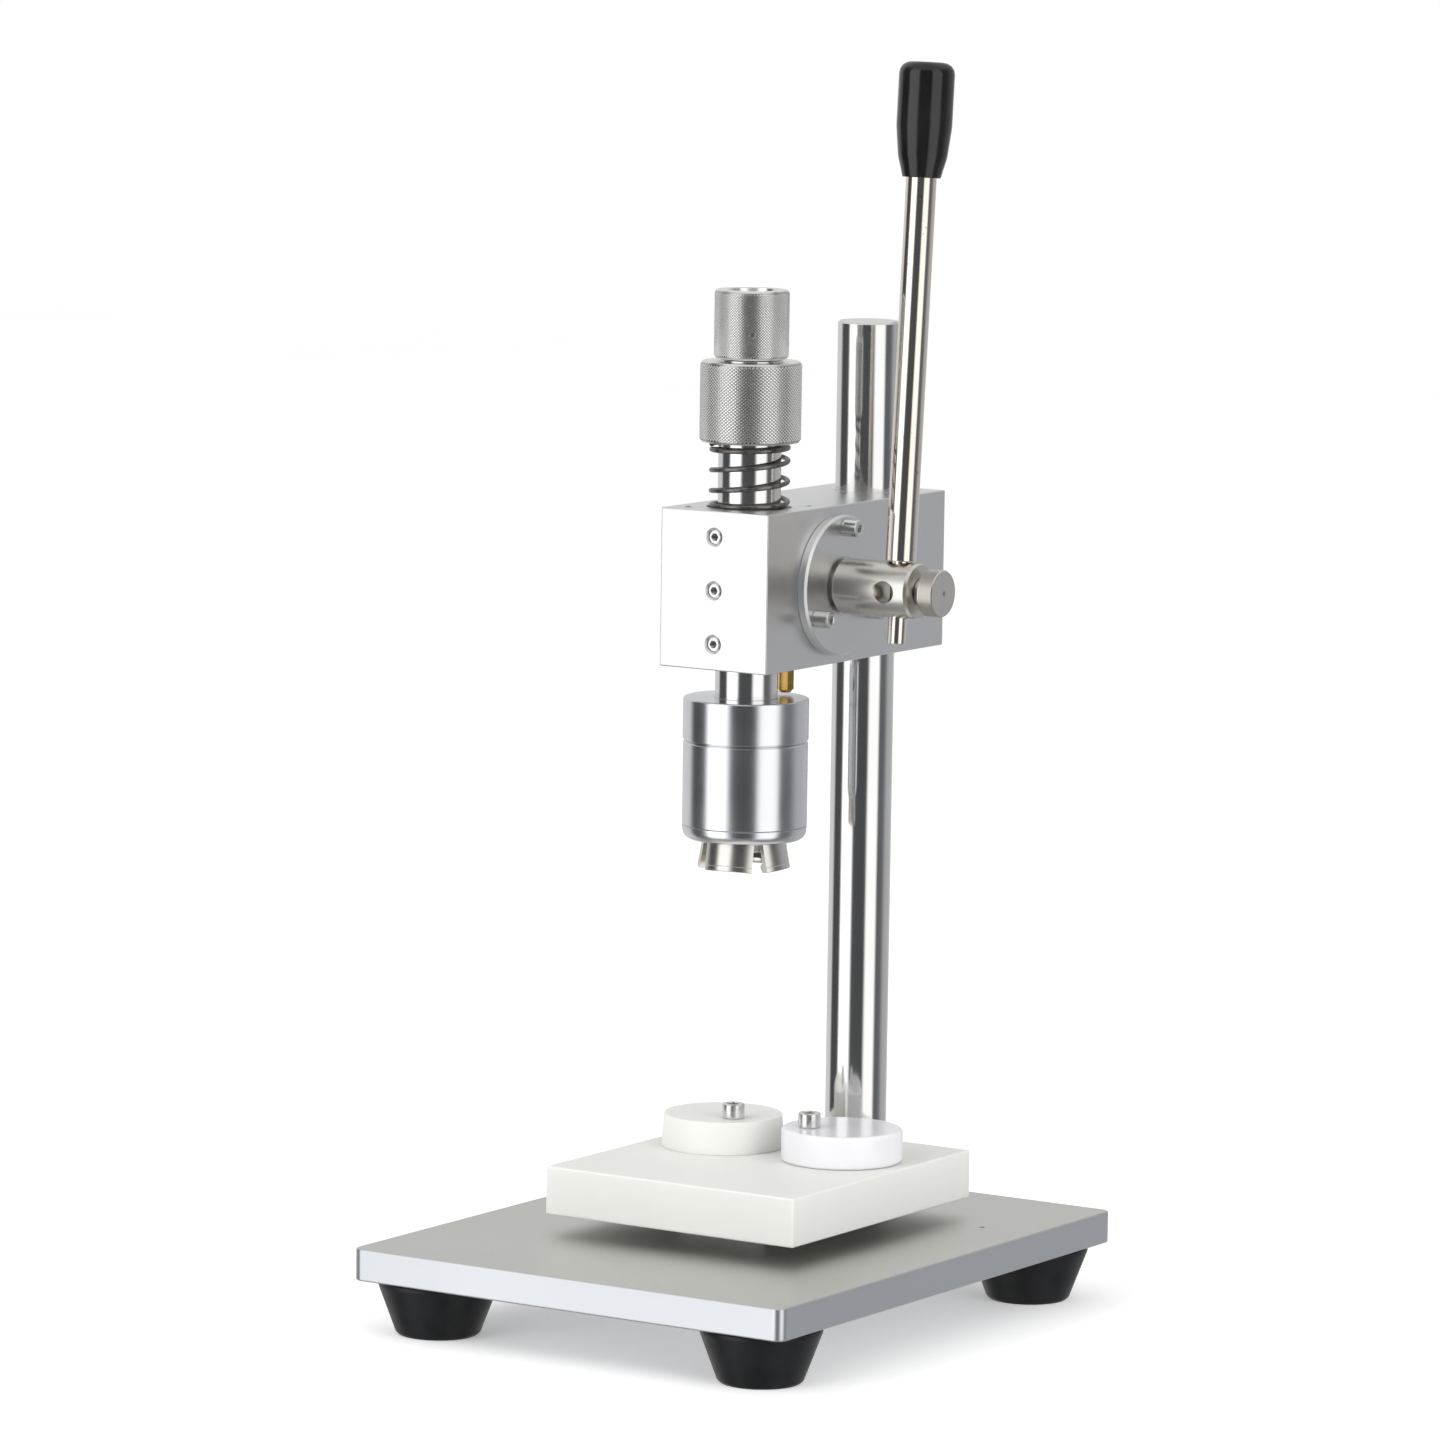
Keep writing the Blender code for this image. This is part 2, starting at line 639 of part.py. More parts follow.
def left_bearing(mats):
    profile = [
        (SHAFT_R + RUN, BEARING_LEFT + GAP),
        (BEARING_R, BEARING_LEFT + GAP),
        (BEARING_R, GEARBOX_LEFT - GAP),
        (SHAFT_R + RUN, GEARBOX_LEFT - GAP),
    ]
    at = towards((0, PINION_Y, PINION_Z), (1, 0, 0))
    return lathe("left_bearing", profile, mats["brass"], at, 28)


# ---------------------------------------------------------------- rack and pinion


def involute(angle):
    return tan(angle) - angle


def gear_outline():
    """Nineteen involute teeth, with a gap centred on angle 0."""
    base_r = PITCH_R * cos(PRESSURE)
    half_tooth = (pi * MODULE / 2 - BACKLASH) / (2 * PITCH_R)
    radii = (base_r + 0.05, PITCH_R - 0.1, PITCH_R + 0.6, PITCH_R + ADDENDUM)

    def flank(r):
        return half_tooth + involute(PRESSURE) - involute(acos(base_r / r))

    points = []
    for tooth in range(TEETH):
        middle = 2 * pi * (tooth + 0.5) / TEETH
        root = PITCH_R - DEDENDUM
        side = [(root, flank(radii[0]) + 0.01)] + [(r, flank(r)) for r in radii]
        points += [(r, middle - a) for r, a in side]
        points += [(r, middle + a) for r, a in reversed(side)]
    return [(r * cos(a), r * sin(a)) for r, a in points]


def pinion_shaft(mats):
    at = towards((0, PINION_Y, PINION_Z), (1, 0, 0))
    shaft = lathe(
        "pinion_shaft",
        [
            (0, SHAFT_LEFT),
            (SHAFT_R - 0.5, SHAFT_LEFT),
            (SHAFT_R, SHAFT_LEFT + 0.5),
            (SHAFT_R, SHAFT_RIGHT),
            (0, SHAFT_RIGHT),
        ],
        mats["steel"],
        at,
        28,
    )
    to_rack = at.inverted().to_3x3() @ Vector((0, -1, 0))
    facing = Vector((to_rack.x, to_rack.y)).angle_signed(Vector((1, 0)), 0)
    turn = at @ Matrix.Rotation(facing, 4, "Z")
    gear = prism("pinion_gear", gear_outline(), -GEAR_HALF_X, GEAR_HALF_X, None, turn)
    return join(shaft, gear)


def rack_comb():
    """The cutter for the rack: a slab in front of the tooth tips, with a wedge for each gap."""
    pitch_y = PINION_Y - PITCH_R
    tip_y, root_y = pitch_y + ADDENDUM, pitch_y - DEDENDUM
    pitch = pi * MODULE
    gap_half = pitch / 4 + BACKLASH / 2
    lean = tan(PRESSURE)
    gaps = [
        PINION_Z + pitch * (n + 0.5)
        for n in range(-4, 8)
        if RACK_LOW + 2.5 < PINION_Z + pitch * (n + 0.5) < RACK_TOP - 2.5
    ]
    outline = [(tip_y, RACK_LOW)]
    for z in gaps:
        root_half = gap_half - DEDENDUM * lean
        mouth_half = gap_half + ADDENDUM * lean
        outline += [
            (tip_y, z - mouth_half),
            (root_y, z - root_half),
            (root_y, z + root_half),
            (tip_y, z + mouth_half),
        ]
    outline += [(tip_y, RACK_TOP), (SPINDLE_R + 3, RACK_TOP), (SPINDLE_R + 3, RACK_LOW)]
    yz_to_xyz = Matrix(((0, 0, 1, 0), (1, 0, 0, 0), (0, 1, 0, 0), (0, 0, 0, 1)))
    return prism("rack_comb", outline, -SPINDLE_R - 2, SPINDLE_R + 2, None, yz_to_xyz)


def spindle(mats):
    profile = [
        (SPINDLE_BORE_R, SPINDLE_LOW),
        (SPINDLE_R, SPINDLE_LOW),
        (SPINDLE_R, SPINDLE_TOP - 0.5),
        (SPINDLE_R - 0.5, SPINDLE_TOP),
        (KNOB_BOSS_R + 0.2, SPINDLE_TOP),
        (KNOB_BOSS_R + 0.2, KNOB_BOSS_LOW - 0.4),
        (SPINDLE_BORE_R, KNOB_BOSS_LOW - 0.4),
    ]
    shaft = lathe("spindle", profile, mats["chrome"])
    cut(shaft, rack_comb())
    keyway = block(
        "keyway",
        (-KEY_X / 2 - 0.25, -SPINDLE_R - 2, KEY_LOW - 0.6),
        (KEY_X / 2 + 0.25, -KEY_IN + 0.3, BLOCK_TOP - SEAT_DEPTH),
    )
    return cut(shaft, keyway)


def return_spring(mats):
    low, high = BLOCK_TOP - SEAT_DEPTH + GAP, COLLAR_LOW - GAP
    return coil("return_spring", SPRING_R, WIRE_R, low, high, 1, 2.6, mats["dark_steel"], 16, 5)


def height_collar(mats):
    bore = SPINDLE_R + RUN
    profile = [
        (bore, COLLAR_LOW),
        (COLLAR_R - 0.9, COLLAR_LOW),
        (COLLAR_R, COLLAR_LOW + 0.9),
        (COLLAR_R, COLLAR_TOP - 0.9),
        (COLLAR_R - 0.9, COLLAR_TOP),
        (bore, COLLAR_TOP),
    ]
    return lathe("height_collar", profile, mats["steel"])


def depth_knob(mats):
    bore = ROD_IN_R + RUN
    profile = [
        (bore, KNOB_BOSS_LOW),
        (KNOB_BOSS_R, KNOB_BOSS_LOW),
        (KNOB_BOSS_R, KNOB_LOW),
        (KNOB_R - 0.8, KNOB_LOW),
        (KNOB_R, KNOB_LOW + 0.8),
        (KNOB_R, KNOB_TOP - 1.2),
        (KNOB_R - 1.2, KNOB_TOP),
        (9.6, KNOB_TOP),
        (8.6, KNOB_TOP - 3.2),
        (bore, KNOB_TOP - 3.2),
    ]
    knob = lathe("depth_knob", profile, mats["steel"])
    out = Vector((cos(KNOB_DOT_TURN), sin(KNOB_DOT_TURN), 0))
    start = out * (KNOB_R - 2.5) + Vector((0, 0, KNOB_DOT_Z))
    return drill(knob, 1.2, start, start + out * 4, 12)


def plunger(mats):
    top = ROD_IN_TOP
    profile = [
        (0, ROD_IN_LOW),
        (ROD_IN_R, ROD_IN_LOW),
        (ROD_IN_R, top - 0.6),
        (ROD_IN_R - 0.6, top),
        (0, top),
    ]
    rod = lathe("plunger_rod", profile, mats["steel"], sides=SMALL)
    slot = block("rod_slot", (-6, -0.6, top - 1.6), (6, 0.6, top + 1))
    cut(rod, slot)
    profile = [
        (0, TIP_LOW),
        (TIP_R - 0.6, TIP_LOW),
        (TIP_R, TIP_LOW + 0.6),
        (TIP_R, TIP_TOP - 1),
        (TIP_R - 1, TIP_TOP),
        (ROD_IN_R + RUN, TIP_TOP),
        (ROD_IN_R + RUN, ROD_IN_LOW - GAP),
        (0, ROD_IN_LOW - GAP),
    ]
    lathe("plunger_tip", profile, mats["steel"], sides=28)


# ---------------------------------------------------------------- lever


def lever_hub(mats):
    at = towards((0, PINION_Y, PINION_Z), (1, 0, 0))
    profile = [
        (0, HUB_BORE_X),
        (SHAFT_R + RUN, HUB_BORE_X),
        (SHAFT_R + RUN, HUB_X0),
        (HUB_R - 0.6, HUB_X0),
        (HUB_R, HUB_X0 + 0.6),
        (HUB_R, HUB_X1 - HUB_BEVEL),
        (HUB_R - HUB_BEVEL_R, HUB_X1),
        (0, HUB_X1),
    ]
    hub = lathe("lever_hub", profile, mats["steel"], at, 32)
    middle = Vector((LEVER_X, PINION_Y, PINION_Z))
    along = Vector((0, sin(LEVER_LEAN), cos(LEVER_LEAN)))
    level = Vector((0, 1, 0))
    drill(hub, SPIGOT_HOLE_R, middle - 14 * along, middle + 14 * along, 20)
    spare = Vector((SPARE_X, PINION_Y, PINION_Z))
    drill(hub, SPARE_R, spare - 14 * level, spare + 14 * level, 24)
    for sign in (-1, 1):
        mouth = spare + sign * level * (HUB_R + 1.2)
        drill(hub, DISH_R, mouth, spare + sign * level * (HUB_R - 1.6), 24, DISH_FOOT_R)
    end = (HUB_X1 + 1, PINION_Y, PINION_Z)
    drill(hub, THUMB_STEM_R + 0.2, (LEVER_X, PINION_Y, PINION_Z), end, 20)
    return hub


def lever_place():
    return Matrix.Translation((LEVER_X, PINION_Y, PINION_Z)) @ Matrix.Rotation(-LEVER_LEAN, 4, "X")


def lever_rod(mats):
    profile = [
        (0, SPIGOT_END),
        (SPIGOT_R - 0.6, SPIGOT_END),
        (SPIGOT_R, SPIGOT_END + 0.6),
        (SPIGOT_R, ROD_FOOT),
        (ROD_R - 0.5, ROD_FOOT),
        (ROD_R, ROD_FOOT + 0.5),
        (ROD_R, ROD_TOP),
        (0, ROD_TOP),
    ]
    return lathe("lever_rod", profile, mats["nickel"], lever_place(), 24)


def lever_grip(mats):
    bore = ROD_R + RUN
    profile = [
        (bore, GRIP_LOW),
        (7.4, GRIP_LOW),
        (7.9, GRIP_LOW + 0.5),
        (8.6, GRIP_LOW + 3.2),
        (9.6, GRIP_LOW + 7.5),
        (10.5, GRIP_LOW + 13),
        (GRIP_R, GRIP_LOW + 21),
        (GRIP_R, GRIP_TOP - 4),
        (GRIP_R - 0.4, GRIP_TOP - 2.2),
        (GRIP_R - 1.4, GRIP_TOP - 0.9),
        (GRIP_R - 3.2, GRIP_TOP - 0.25),
        (4, GRIP_TOP),
        (0, GRIP_TOP),
        (0, ROD_TOP + GAP),
        (bore, ROD_TOP + GAP),
    ]
    return lathe("lever_grip", profile, mats["grip"], lever_place(), 28)


def thumb_screw(mats):
    profile = [
        (0, LEVER_X + SPIGOT_R + 0.3),
        (THUMB_STEM_R, LEVER_X + SPIGOT_R + 0.3),
        (THUMB_STEM_R, HUB_X1 + 0.3),
        (THUMB_NECK_R, HUB_X1 + 0.3),
        (THUMB_NECK_R, THUMB_X0),
        (THUMB_R - 0.4, THUMB_X0),
        (THUMB_R, THUMB_X0 + 0.4),
        (THUMB_R, THUMB_X1 - 0.4),
        (THUMB_R - 0.4, THUMB_X1),
        (THUMB_DIMPLE_R, THUMB_X1),
        (0, THUMB_X1 - 0.8),
    ]
    at = towards((0, PINION_Y, PINION_Z), (1, 0, 0))
    return lathe("thumb_screw", profile, mats["steel"], at, 28)


# ---------------------------------------------------------------- crimp head


def head_collar(mats):
    bore, low, top = SPINDLE_R + RUN, HEAD_COLLAR_LOW, HEAD_COLLAR_TOP
    profile = [
        (bore, HEAD_SPIGOT_LOW),
        (HEAD_SPIGOT_R, HEAD_SPIGOT_LOW),
        (HEAD_SPIGOT_R, low),
        (HEAD_COLLAR_R - 0.7, low),
        (HEAD_COLLAR_R, low + 0.7),
        (HEAD_COLLAR_R, top - 0.8),
        (HEAD_COLLAR_R - 0.8, top),
        (bore, top),
    ]
    collar = lathe("head_collar", profile, mats["turned"])
    z = (low + top) / 2
    drill(collar, 2.6, (0, SPINDLE_R - 2, z), (0, HEAD_COLLAR_R + 1, z), 16)
    outer = (0, HEAD_COLLAR_R - 0.6, z)
    length = outer[1] - SPINDLE_R - 0.15
    grub_screw("collar_grub", 2.45, outer, (0, -1, 0), length, 2.5, mats["dark_steel"])
    return collar


def head_bell(mats):
    top = HEAD_COLLAR_LOW - GAP
    profile = [
        (RING_SPIGOT_R + RUN, BELL_LOW),
        (BELL_R - 0.3, BELL_LOW),
        (BELL_R, BELL_LOW + 0.3),
        (BELL_R, top - 0.7),
        (BELL_R - 0.7, top),
        (BELL_BORE_R, top),
        (BELL_BORE_R, LEDGE_TOP),
        (LEDGE_R, LEDGE_TOP),
        (LEDGE_R, LEDGE_LOW),
        (RING_SPIGOT_R + RUN, LEDGE_LOW),
    ]
    return lathe("head_bell", profile, mats["turned"])


def closing_ring(mats):
    top = BELL_LOW - GAP
    profile = [
        (RING_MOUTH_R + 0.8, RING_LOW),
        (BELL_R - 4.2, RING_LOW),
        (BELL_R - 2.3, RING_LOW + 0.5),
        (BELL_R - 0.9, RING_LOW + 1.6),
        (BELL_R - 0.2, RING_LOW + 3.1),
        (BELL_R, RING_LOW + 4.6),
        (BELL_R - 0.2, top),
        (RING_SPIGOT_R, top),
        (RING_SPIGOT_R, RING_SPIGOT_TOP),
        (RING_MOUTH_R, RING_SPIGOT_TOP),
        (RING_MOUTH_R, RING_LOW + 0.8),
    ]
    return lathe("closing_ring", profile, mats["turned"])


def jaw_carrier(mats):
    profile = [
        (CARRIER_BORE_R, 200.0),
        (12.0, 200.0),
        (12.4, 200.4),
        (12.4, 202.9),
        (12.0, 203.3),
        (8.6, 203.3),
        (8.6, 209.3),
        (18.5, 209.3),
        (18.5, CARRIER_TOP),
        (CARRIER_BORE_R, CARRIER_TOP),
    ]
    return lathe("jaw_carrier", profile, mats["steel"], sides=28)


def jaw_band(mats):
    """The elastic band that draws the jaws' tops inward, so that their mouths splay."""
    profile = [
        (
            BAND_R + BAND_WIRE_R * cos(2 * pi * k / 6),
            BAND_Z + BAND_WIRE_R * sin(2 * pi * k / 6),
        )
        for k in range(6)
    ]
    return lathe("jaw_band", profile, mats["rubber"], sides=28)


def jaw_spring(mats):
    low, high = CARRIER_TOP + GAP, SPINDLE_LOW - GAP
    return coil("jaw_spring", JAW_SPRING_R, JAW_WIRE_R, low, high, 1, 3, mats["dark_steel"], 11, 5)


def jaw_place(turn, pivot):
    """Splays a closed jaw about its pivot, then turns it round to its place."""
    splay = Matrix.Translation(pivot) @ Matrix.Rotation(-JAW_SPLAY, 4, "Y")
    return Matrix.Rotation(turn, 4, "Z") @ splay


def jaws(mats):
    body = [
        (15.0, 181.0),
        (15.0, 199.2),
        (12.2, 199.2),
        (11.6, 198.0),
        (11.6, 185.0),
        (8.9, 183.8),
        (8.9, 182.3),
        (10.4, 181.0),
    ]
    tongue = [
        (14.8, 197.0),
        (14.8, 205.0),
        (13.4, 205.0),
        (13.4, 207.4),
        (14.8, 207.4),
        (14.8, 208.6),
        (10.2, 208.6),
        (10.2, 204.5),
        (13.0, 204.5),
        (13.0, 197.0),
    ]
    pivot = Vector((JAW_PIVOT_R, 0, JAW_PIVOT_Z))
    for n in range(JAWS):
        at = jaw_place(JAW_PHASE + 2 * pi * n / JAWS, pivot)
        jaw = sector(f"jaw_{n + 1}", body, JAW_HALF, mats["steel"], at, pivot, 10)
        join(jaw, sector(f"jaw_tongue_{n + 1}", tongue, TONGUE_HALF, None, at, pivot, 4))


# ---------------------------------------------------------------- assembly


def main():
    for obj in list(bpy.data.objects):
        bpy.data.objects.remove(obj, do_unlink=True)
    mats = make_materials()
    base_plate(mats)
    feet(mats)
    riser_block(mats)
    platform(mats)
    platform_screws(mats)
    post(mats)
    change_parts(mats)
    head_block(mats)
    head_screws(mats)
    guide_key(mats)
    up_stop(mats)
    bearing_flange(mats)
    left_bearing(mats)
    pinion_shaft(mats)
    spindle(mats)
    return_spring(mats)
    height_collar(mats)
    depth_knob(mats)
    plunger(mats)
    lever_hub(mats)
    lever_rod(mats)
    lever_grip(mats)
    thumb_screw(mats)
    head_collar(mats)
    head_bell(mats)
    closing_ring(mats)
    jaw_carrier(mats)
    jaw_band(mats)
    jaw_spring(mats)
    jaws(mats)


main()
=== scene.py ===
"""The looks of the capping machine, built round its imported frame.

Every turned or milled piece that shows is built again here with fine rounding, knurls
and bores, on the box of its CAD node, and each gets a procedural material. Lengths are
in millimetres, and MM turns them into metres where a mesh is made. +Z is up, the
operator stands at -Y, the lever is on +X and the post at +Y.
"""

import json
from math import atan2, cos, pi, radians, sin, tan

import bmesh
import bpy
from mathutils import Matrix, Vector

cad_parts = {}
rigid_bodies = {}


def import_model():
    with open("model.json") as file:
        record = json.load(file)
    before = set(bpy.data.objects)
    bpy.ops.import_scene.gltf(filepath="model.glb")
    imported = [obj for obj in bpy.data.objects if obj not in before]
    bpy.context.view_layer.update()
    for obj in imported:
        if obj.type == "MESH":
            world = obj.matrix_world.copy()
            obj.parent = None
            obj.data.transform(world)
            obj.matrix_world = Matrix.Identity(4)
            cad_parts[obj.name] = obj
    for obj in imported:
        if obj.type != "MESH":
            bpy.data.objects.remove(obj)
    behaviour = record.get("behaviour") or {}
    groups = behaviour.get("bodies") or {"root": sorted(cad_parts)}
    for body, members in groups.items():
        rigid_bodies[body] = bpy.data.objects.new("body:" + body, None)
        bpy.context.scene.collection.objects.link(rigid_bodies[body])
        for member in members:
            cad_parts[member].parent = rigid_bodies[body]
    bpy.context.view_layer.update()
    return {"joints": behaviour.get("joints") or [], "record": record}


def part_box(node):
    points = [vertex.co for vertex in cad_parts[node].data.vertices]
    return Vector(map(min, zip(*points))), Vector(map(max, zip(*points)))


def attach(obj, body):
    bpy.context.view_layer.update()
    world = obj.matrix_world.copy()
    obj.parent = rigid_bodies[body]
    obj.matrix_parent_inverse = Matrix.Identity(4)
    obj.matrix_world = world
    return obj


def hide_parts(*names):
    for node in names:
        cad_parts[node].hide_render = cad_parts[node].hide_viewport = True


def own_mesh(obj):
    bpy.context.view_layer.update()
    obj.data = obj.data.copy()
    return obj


for startup_object in list(bpy.data.objects):
    bpy.data.objects.remove(startup_object, do_unlink=True)

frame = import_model()

MM = 0.001
FINE, SMALL = 96, 48  # sides of a large and of a small turned piece
ARC = 4  # steps in a rounded corner
OVER = 1.0  # how far a cutter stands out of the face that it cuts
RUN = 0.1  # radial, a shaft in its bore
KNURL_FLAT = 0.42  # a knurl diamond's flat top, as a share of its foot
# The knurl's groove bottoms carry this attribute so that the knurled finish can paint shade into
# them.
GROOVE_SHADE = "groove_shade"  # the attribute that is 1 at the bottom of a knurl's grooves
FLAT_AREA = 10 * MM * MM  # a milled piece's faces from this size up are flat


# ---------------------------------------------------------------- places


class Place:
    """The box of a CAD node in millimetres: its corners, middle and size."""

    def __init__(self, node):
        low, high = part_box(node)
        self.low, self.high = low / MM, high / MM
        self.mid = (self.low + self.high) / 2
        self.size = self.high - self.low
        self.radius = self.size.x / 2


JOINTS = {joint["name"]: joint for joint in frame["joints"]}
PLATE, PLATFORM, POST = Place("base_plate"), Place("platform"), Place("post")
BLOCK, SPINDLE, COLLAR = Place("head_block"), Place("spindle"), Place("height_collar")
BELL, HEAD_COLLAR, RING = Place("head_bell"), Place("head_collar"), Place("closing_ring")
HUB, FLANGE = Place("lever_hub"), Place("bearing_flange")
SHAFT_AXIS = Vector(JOINTS["lever_turn"]["pos_m"]) / MM
LEVER_X = Place("lever_rod").mid.x
LEVER_ALONG = Vector(JOINTS["rod_pull"]["axis"]).normalized()

MARK_XY, MARK_R, MARK_DEPTH = (76.3, 62.0), 1.2, 8.0  # the small hole in the plate
FLANGE_SCREW_CIRCLE, FLANGE_SCREW_ANGLES = 23.0, (90, 210, 330)
FLANGE_HEAD_H, FLANGE_SHANK_R = 7.0, 1.95
SHAFT_BORE, BEARING_BORE, BEARING_SEAT_X = 8.1, 16.4, -12.0
SPIGOT_R, SPIGOT_HOLE_R, SPIGOT_END = 3.6, 3.8, -21.3  # the lever rod's lower end
SPARE_X, SPARE_R = 53.8, 4.4  # the hub's spare hole for that spigot
ROD_R, ROD_FOOT, ROD_TOP = 6.0, 11.5, 196.0
THUMB_R, THUMB_X, THUMB_STEM_R = 9.45, 68.3, 2.9
TOP_HOLE_XY, TOP_HOLE_R, TOP_HOLE_DEPTH = 16.5, 2.5, 9.0
SEAT_R, SEAT_DEPTH = 16.8, 2.0
JAW_PHASE, JAW_SPLAY = radians(8.4), radians(10.5)
JAW_HALF, TONGUE_HALF = radians(42.8), radians(22)
PINION_MODULE, PINION_TEETH, PRESSURE = 1.5, 19, radians(20)


# ---------------------------------------------------------------- mesh builders


def made_object(name, bm, at=None):
    bmesh.ops.recalc_face_normals(bm, faces=bm.faces)
    if at is not None:
        bm.transform(at)
    bm.transform(Matrix.Scale(MM, 4))
    mesh = bpy.data.meshes.new(name)
    bm.to_mesh(mesh)
    bm.free()
    obj = bpy.data.objects.new(name, mesh)
    bpy.context.scene.collection.objects.link(obj)
    return obj


def rounded(points, steps=ARC):
    """A closed outline of (x, y) or (x, y, radius), with each radius turned into an arc."""
    out = []
    for i, point in enumerate(points):
        here = Vector(point[:2])
        radius = point[2] if len(point) > 2 else 0
        if not radius:
            out.append(here)
            continue
        back = (Vector(points[i - 1][:2]) - here).normalized()
        ahead = (Vector(points[(i + 1) % len(points)][:2]) - here).normalized()
        half = back.angle(ahead) / 2
        centre = here + (back + ahead).normalized() * radius / sin(half)
        first = here + back * radius / tan(half) - centre
        last = here + ahead * radius / tan(half) - centre
        turn = atan2(first.x * last.y - first.y * last.x, first.dot(last))
        for k in range(steps + 1):
            out.append(centre + Matrix.Rotation(turn * k / steps, 2) @ first)
    return out


def ring_of(bm, r, z, angles):
    if r < 1e-6:
        return [bm.verts.new((0, 0, z))] * len(angles)
    return [bm.verts.new((r * cos(a), r * sin(a), z)) for a in angles]


def skin(bm, rings, closed_round=True, loop=True):
    """Faces between successive rings and, in a loop, from the last back to the first."""
    count = len(rings[0])
    for low, high in zip(rings, rings[1:] + (rings[:1] if loop else [])):
        for i in range(count if closed_round else count - 1):
            j = (i + 1) % count
            corners = list(dict.fromkeys((low[i], low[j], high[j], high[i])))
            if len(corners) > 2:
                bm.faces.new(corners)


def lathe(name, profile, at=None, sides=FINE):
    """A turned solid about Z from a closed loop of (radius, height, rounding)."""
    bm = bmesh.new()
    angles = [2 * pi * i / sides for i in range(sides)]
    skin(bm, [ring_of(bm, r, z, angles) for r, z in rounded(profile)])
    return made_object(name, bm, at)


def knurl_wall(bm, radius, depth, low, high, count, rows):
    """A wall of flat-topped diamond pyramids, count half-diamonds round and rows up.
    Returns its lower and upper rims, which lie at the grooves' depth."""
    feet_at = ((-1, 0), (0, -1), (1, 0), (0, 1))
    # Marks the groove bottoms, where knurled_steel paints shade.
    groove_shade = bm.verts.layers.float.new(GROOVE_SHADE)

    def spot(r, i, row):
        a = 2 * pi * i / count
        return r * cos(a), r * sin(a), low + (high - low) * row / rows

    grid = {}
    for row in range(rows + 1):
        for i in range(count):
            if row in (0, rows) or (i + row) % 2 == 0:
                grid[i, row] = bm.verts.new(spot(radius - depth, i, row))
                grid[i, row][groove_shade] = 1
    for row in range(1, rows):
        for i in range(1 - row % 2, count, 2):
            feet = [grid[(i + x) % count, row + z] for x, z in feet_at]
            tops = [spot(radius, i + x * KNURL_FLAT, row + z * KNURL_FLAT) for x, z in feet_at]
            top = [bm.verts.new(corner) for corner in tops]
            bm.faces.new(top)
            for k in range(4):
                j = (k + 1) % 4
                bm.faces.new((feet[k], feet[j], top[j], top[k]))
    for row, inner in ((0, 1), (rows, rows - 1)):
        for i in range(1, count, 2):
            left, right = grid[i - 1, row], grid[(i + 1) % count, row]
            bm.faces.new((left, grid[i, row], right, grid[i, inner]))
    return [[grid[i, row] for i in range(count)] for row in (0, rows)]


def knurled(name, start, end, pitch, rise, depth, at=None):
    """A turned solid whose wall, from the last point of start to the first of end, is
    knurled in diamonds about pitch wide and rise high."""
    radius, low = start[-1]
    high = end[0][1]
    count = 2 * round(2 * pi * radius / pitch)
    rows = 2 * round((high - low) / rise)
    angles = [2 * pi * i / count for i in range(count)]
    bm = bmesh.new()
    lower_rim, upper_rim = knurl_wall(bm, radius, depth, low, high, count, rows)
    rings = [upper_rim]
    rings += [ring_of(bm, r, z, angles) for r, z in rounded(end)[1:]]
    rings += [ring_of(bm, r, z, angles) for r, z in rounded(start)[:-1]]
    rings.append(lower_rim)
    skin(bm, rings, loop=False)
    return made_object(name, bm, at)


def sector(name, profile, half, at=None, steps=24):
    """A slice of a turned solid, from -half to +half about +X."""
    bm = bmesh.new()
    angles = [half * (2 * i / steps - 1) for i in range(steps + 1)]
    rings = [ring_of(bm, r, z, angles) for r, z in rounded(profile)]
    skin(bm, rings, False)
    bm.faces.new([ring[0] for ring in rings])
    bm.faces.new([ring[-1] for ring in rings])
    return made_object(name, bm, at)


def prism(name, outline, low, high, at=None):
    """A straight solid along Z."""
    bm = bmesh.new()
    rings = [[bm.verts.new((x, y, z)) for x, y in outline] for z in (low, high)]
    for ring in rings:
        bm.faces.new(ring)
    for i in range(len(outline)):
        j = (i + 1) % len(outline)
        bm.faces.new((rings[0][i], rings[0][j], rings[1][j], rings[1][i]))
    return made_object(name, bm, at)


def block(name, low, high, edge, corner=0.0):
    """A box with its upright edges rounded by corner and the others by edge."""
    bm = bmesh.new()
    bmesh.ops.create_cube(bm, size=1)
    low, high = Vector(low), Vector(high)
    bm.transform(Matrix.Translation((low + high) / 2) @ Matrix.Diagonal((*(high - low), 1)))

    def upright(e):
        return abs(e.verts[0].co.z - e.verts[1].co.z) > 1

    if corner:
        chosen = [e for e in bm.edges if upright(e)]
        bmesh.ops.bevel(bm, geom=chosen, offset=corner, segments=10, profile=0.5, affect="EDGES")
    if edge:
        chosen = [e for e in bm.edges if not (corner and upright(e))]
        bmesh.ops.bevel(bm, geom=chosen, offset=edge, segments=4, profile=0.5, affect="EDGES")
    return made_object(name, bm)


def coil(name, radius, wire, low, high, turns, sides=14, steps=56):
    """A compression spring about Z, with one closed turn at each end."""
    closed_rise = 2 * wire * 1.06
    open_rise = (high - low - 2 * wire - 2 * closed_rise) / turns
    bm = bmesh.new()
    rings = []
    for i in range(round((turns + 2) * steps) + 1):
        t = i / steps
        z = low + wire + (min(t, 1) + max(t - 1 - turns, 0)) * closed_rise
        z += min(max(t - 1, 0), turns) * open_rise
        out = Vector((cos(2 * pi * t), sin(2 * pi * t), 0))
        ring = []
        for k in range(sides):
            a = 2 * pi * k / sides
            spot = out * (radius + wire * cos(a)) + Vector((0, 0, z + wire * sin(a)))
            ring.append(bm.verts.new(spot))
        rings.append(ring)
    for one, two in zip(rings, rings[1:]):
        for k in range(sides):
            j = (k + 1) % sides
            bm.faces.new((one[k], one[j], two[j], two[k]))
    bm.faces.new(rings[0])
    bm.faces.new(rings[-1])
    return made_object(name, bm)


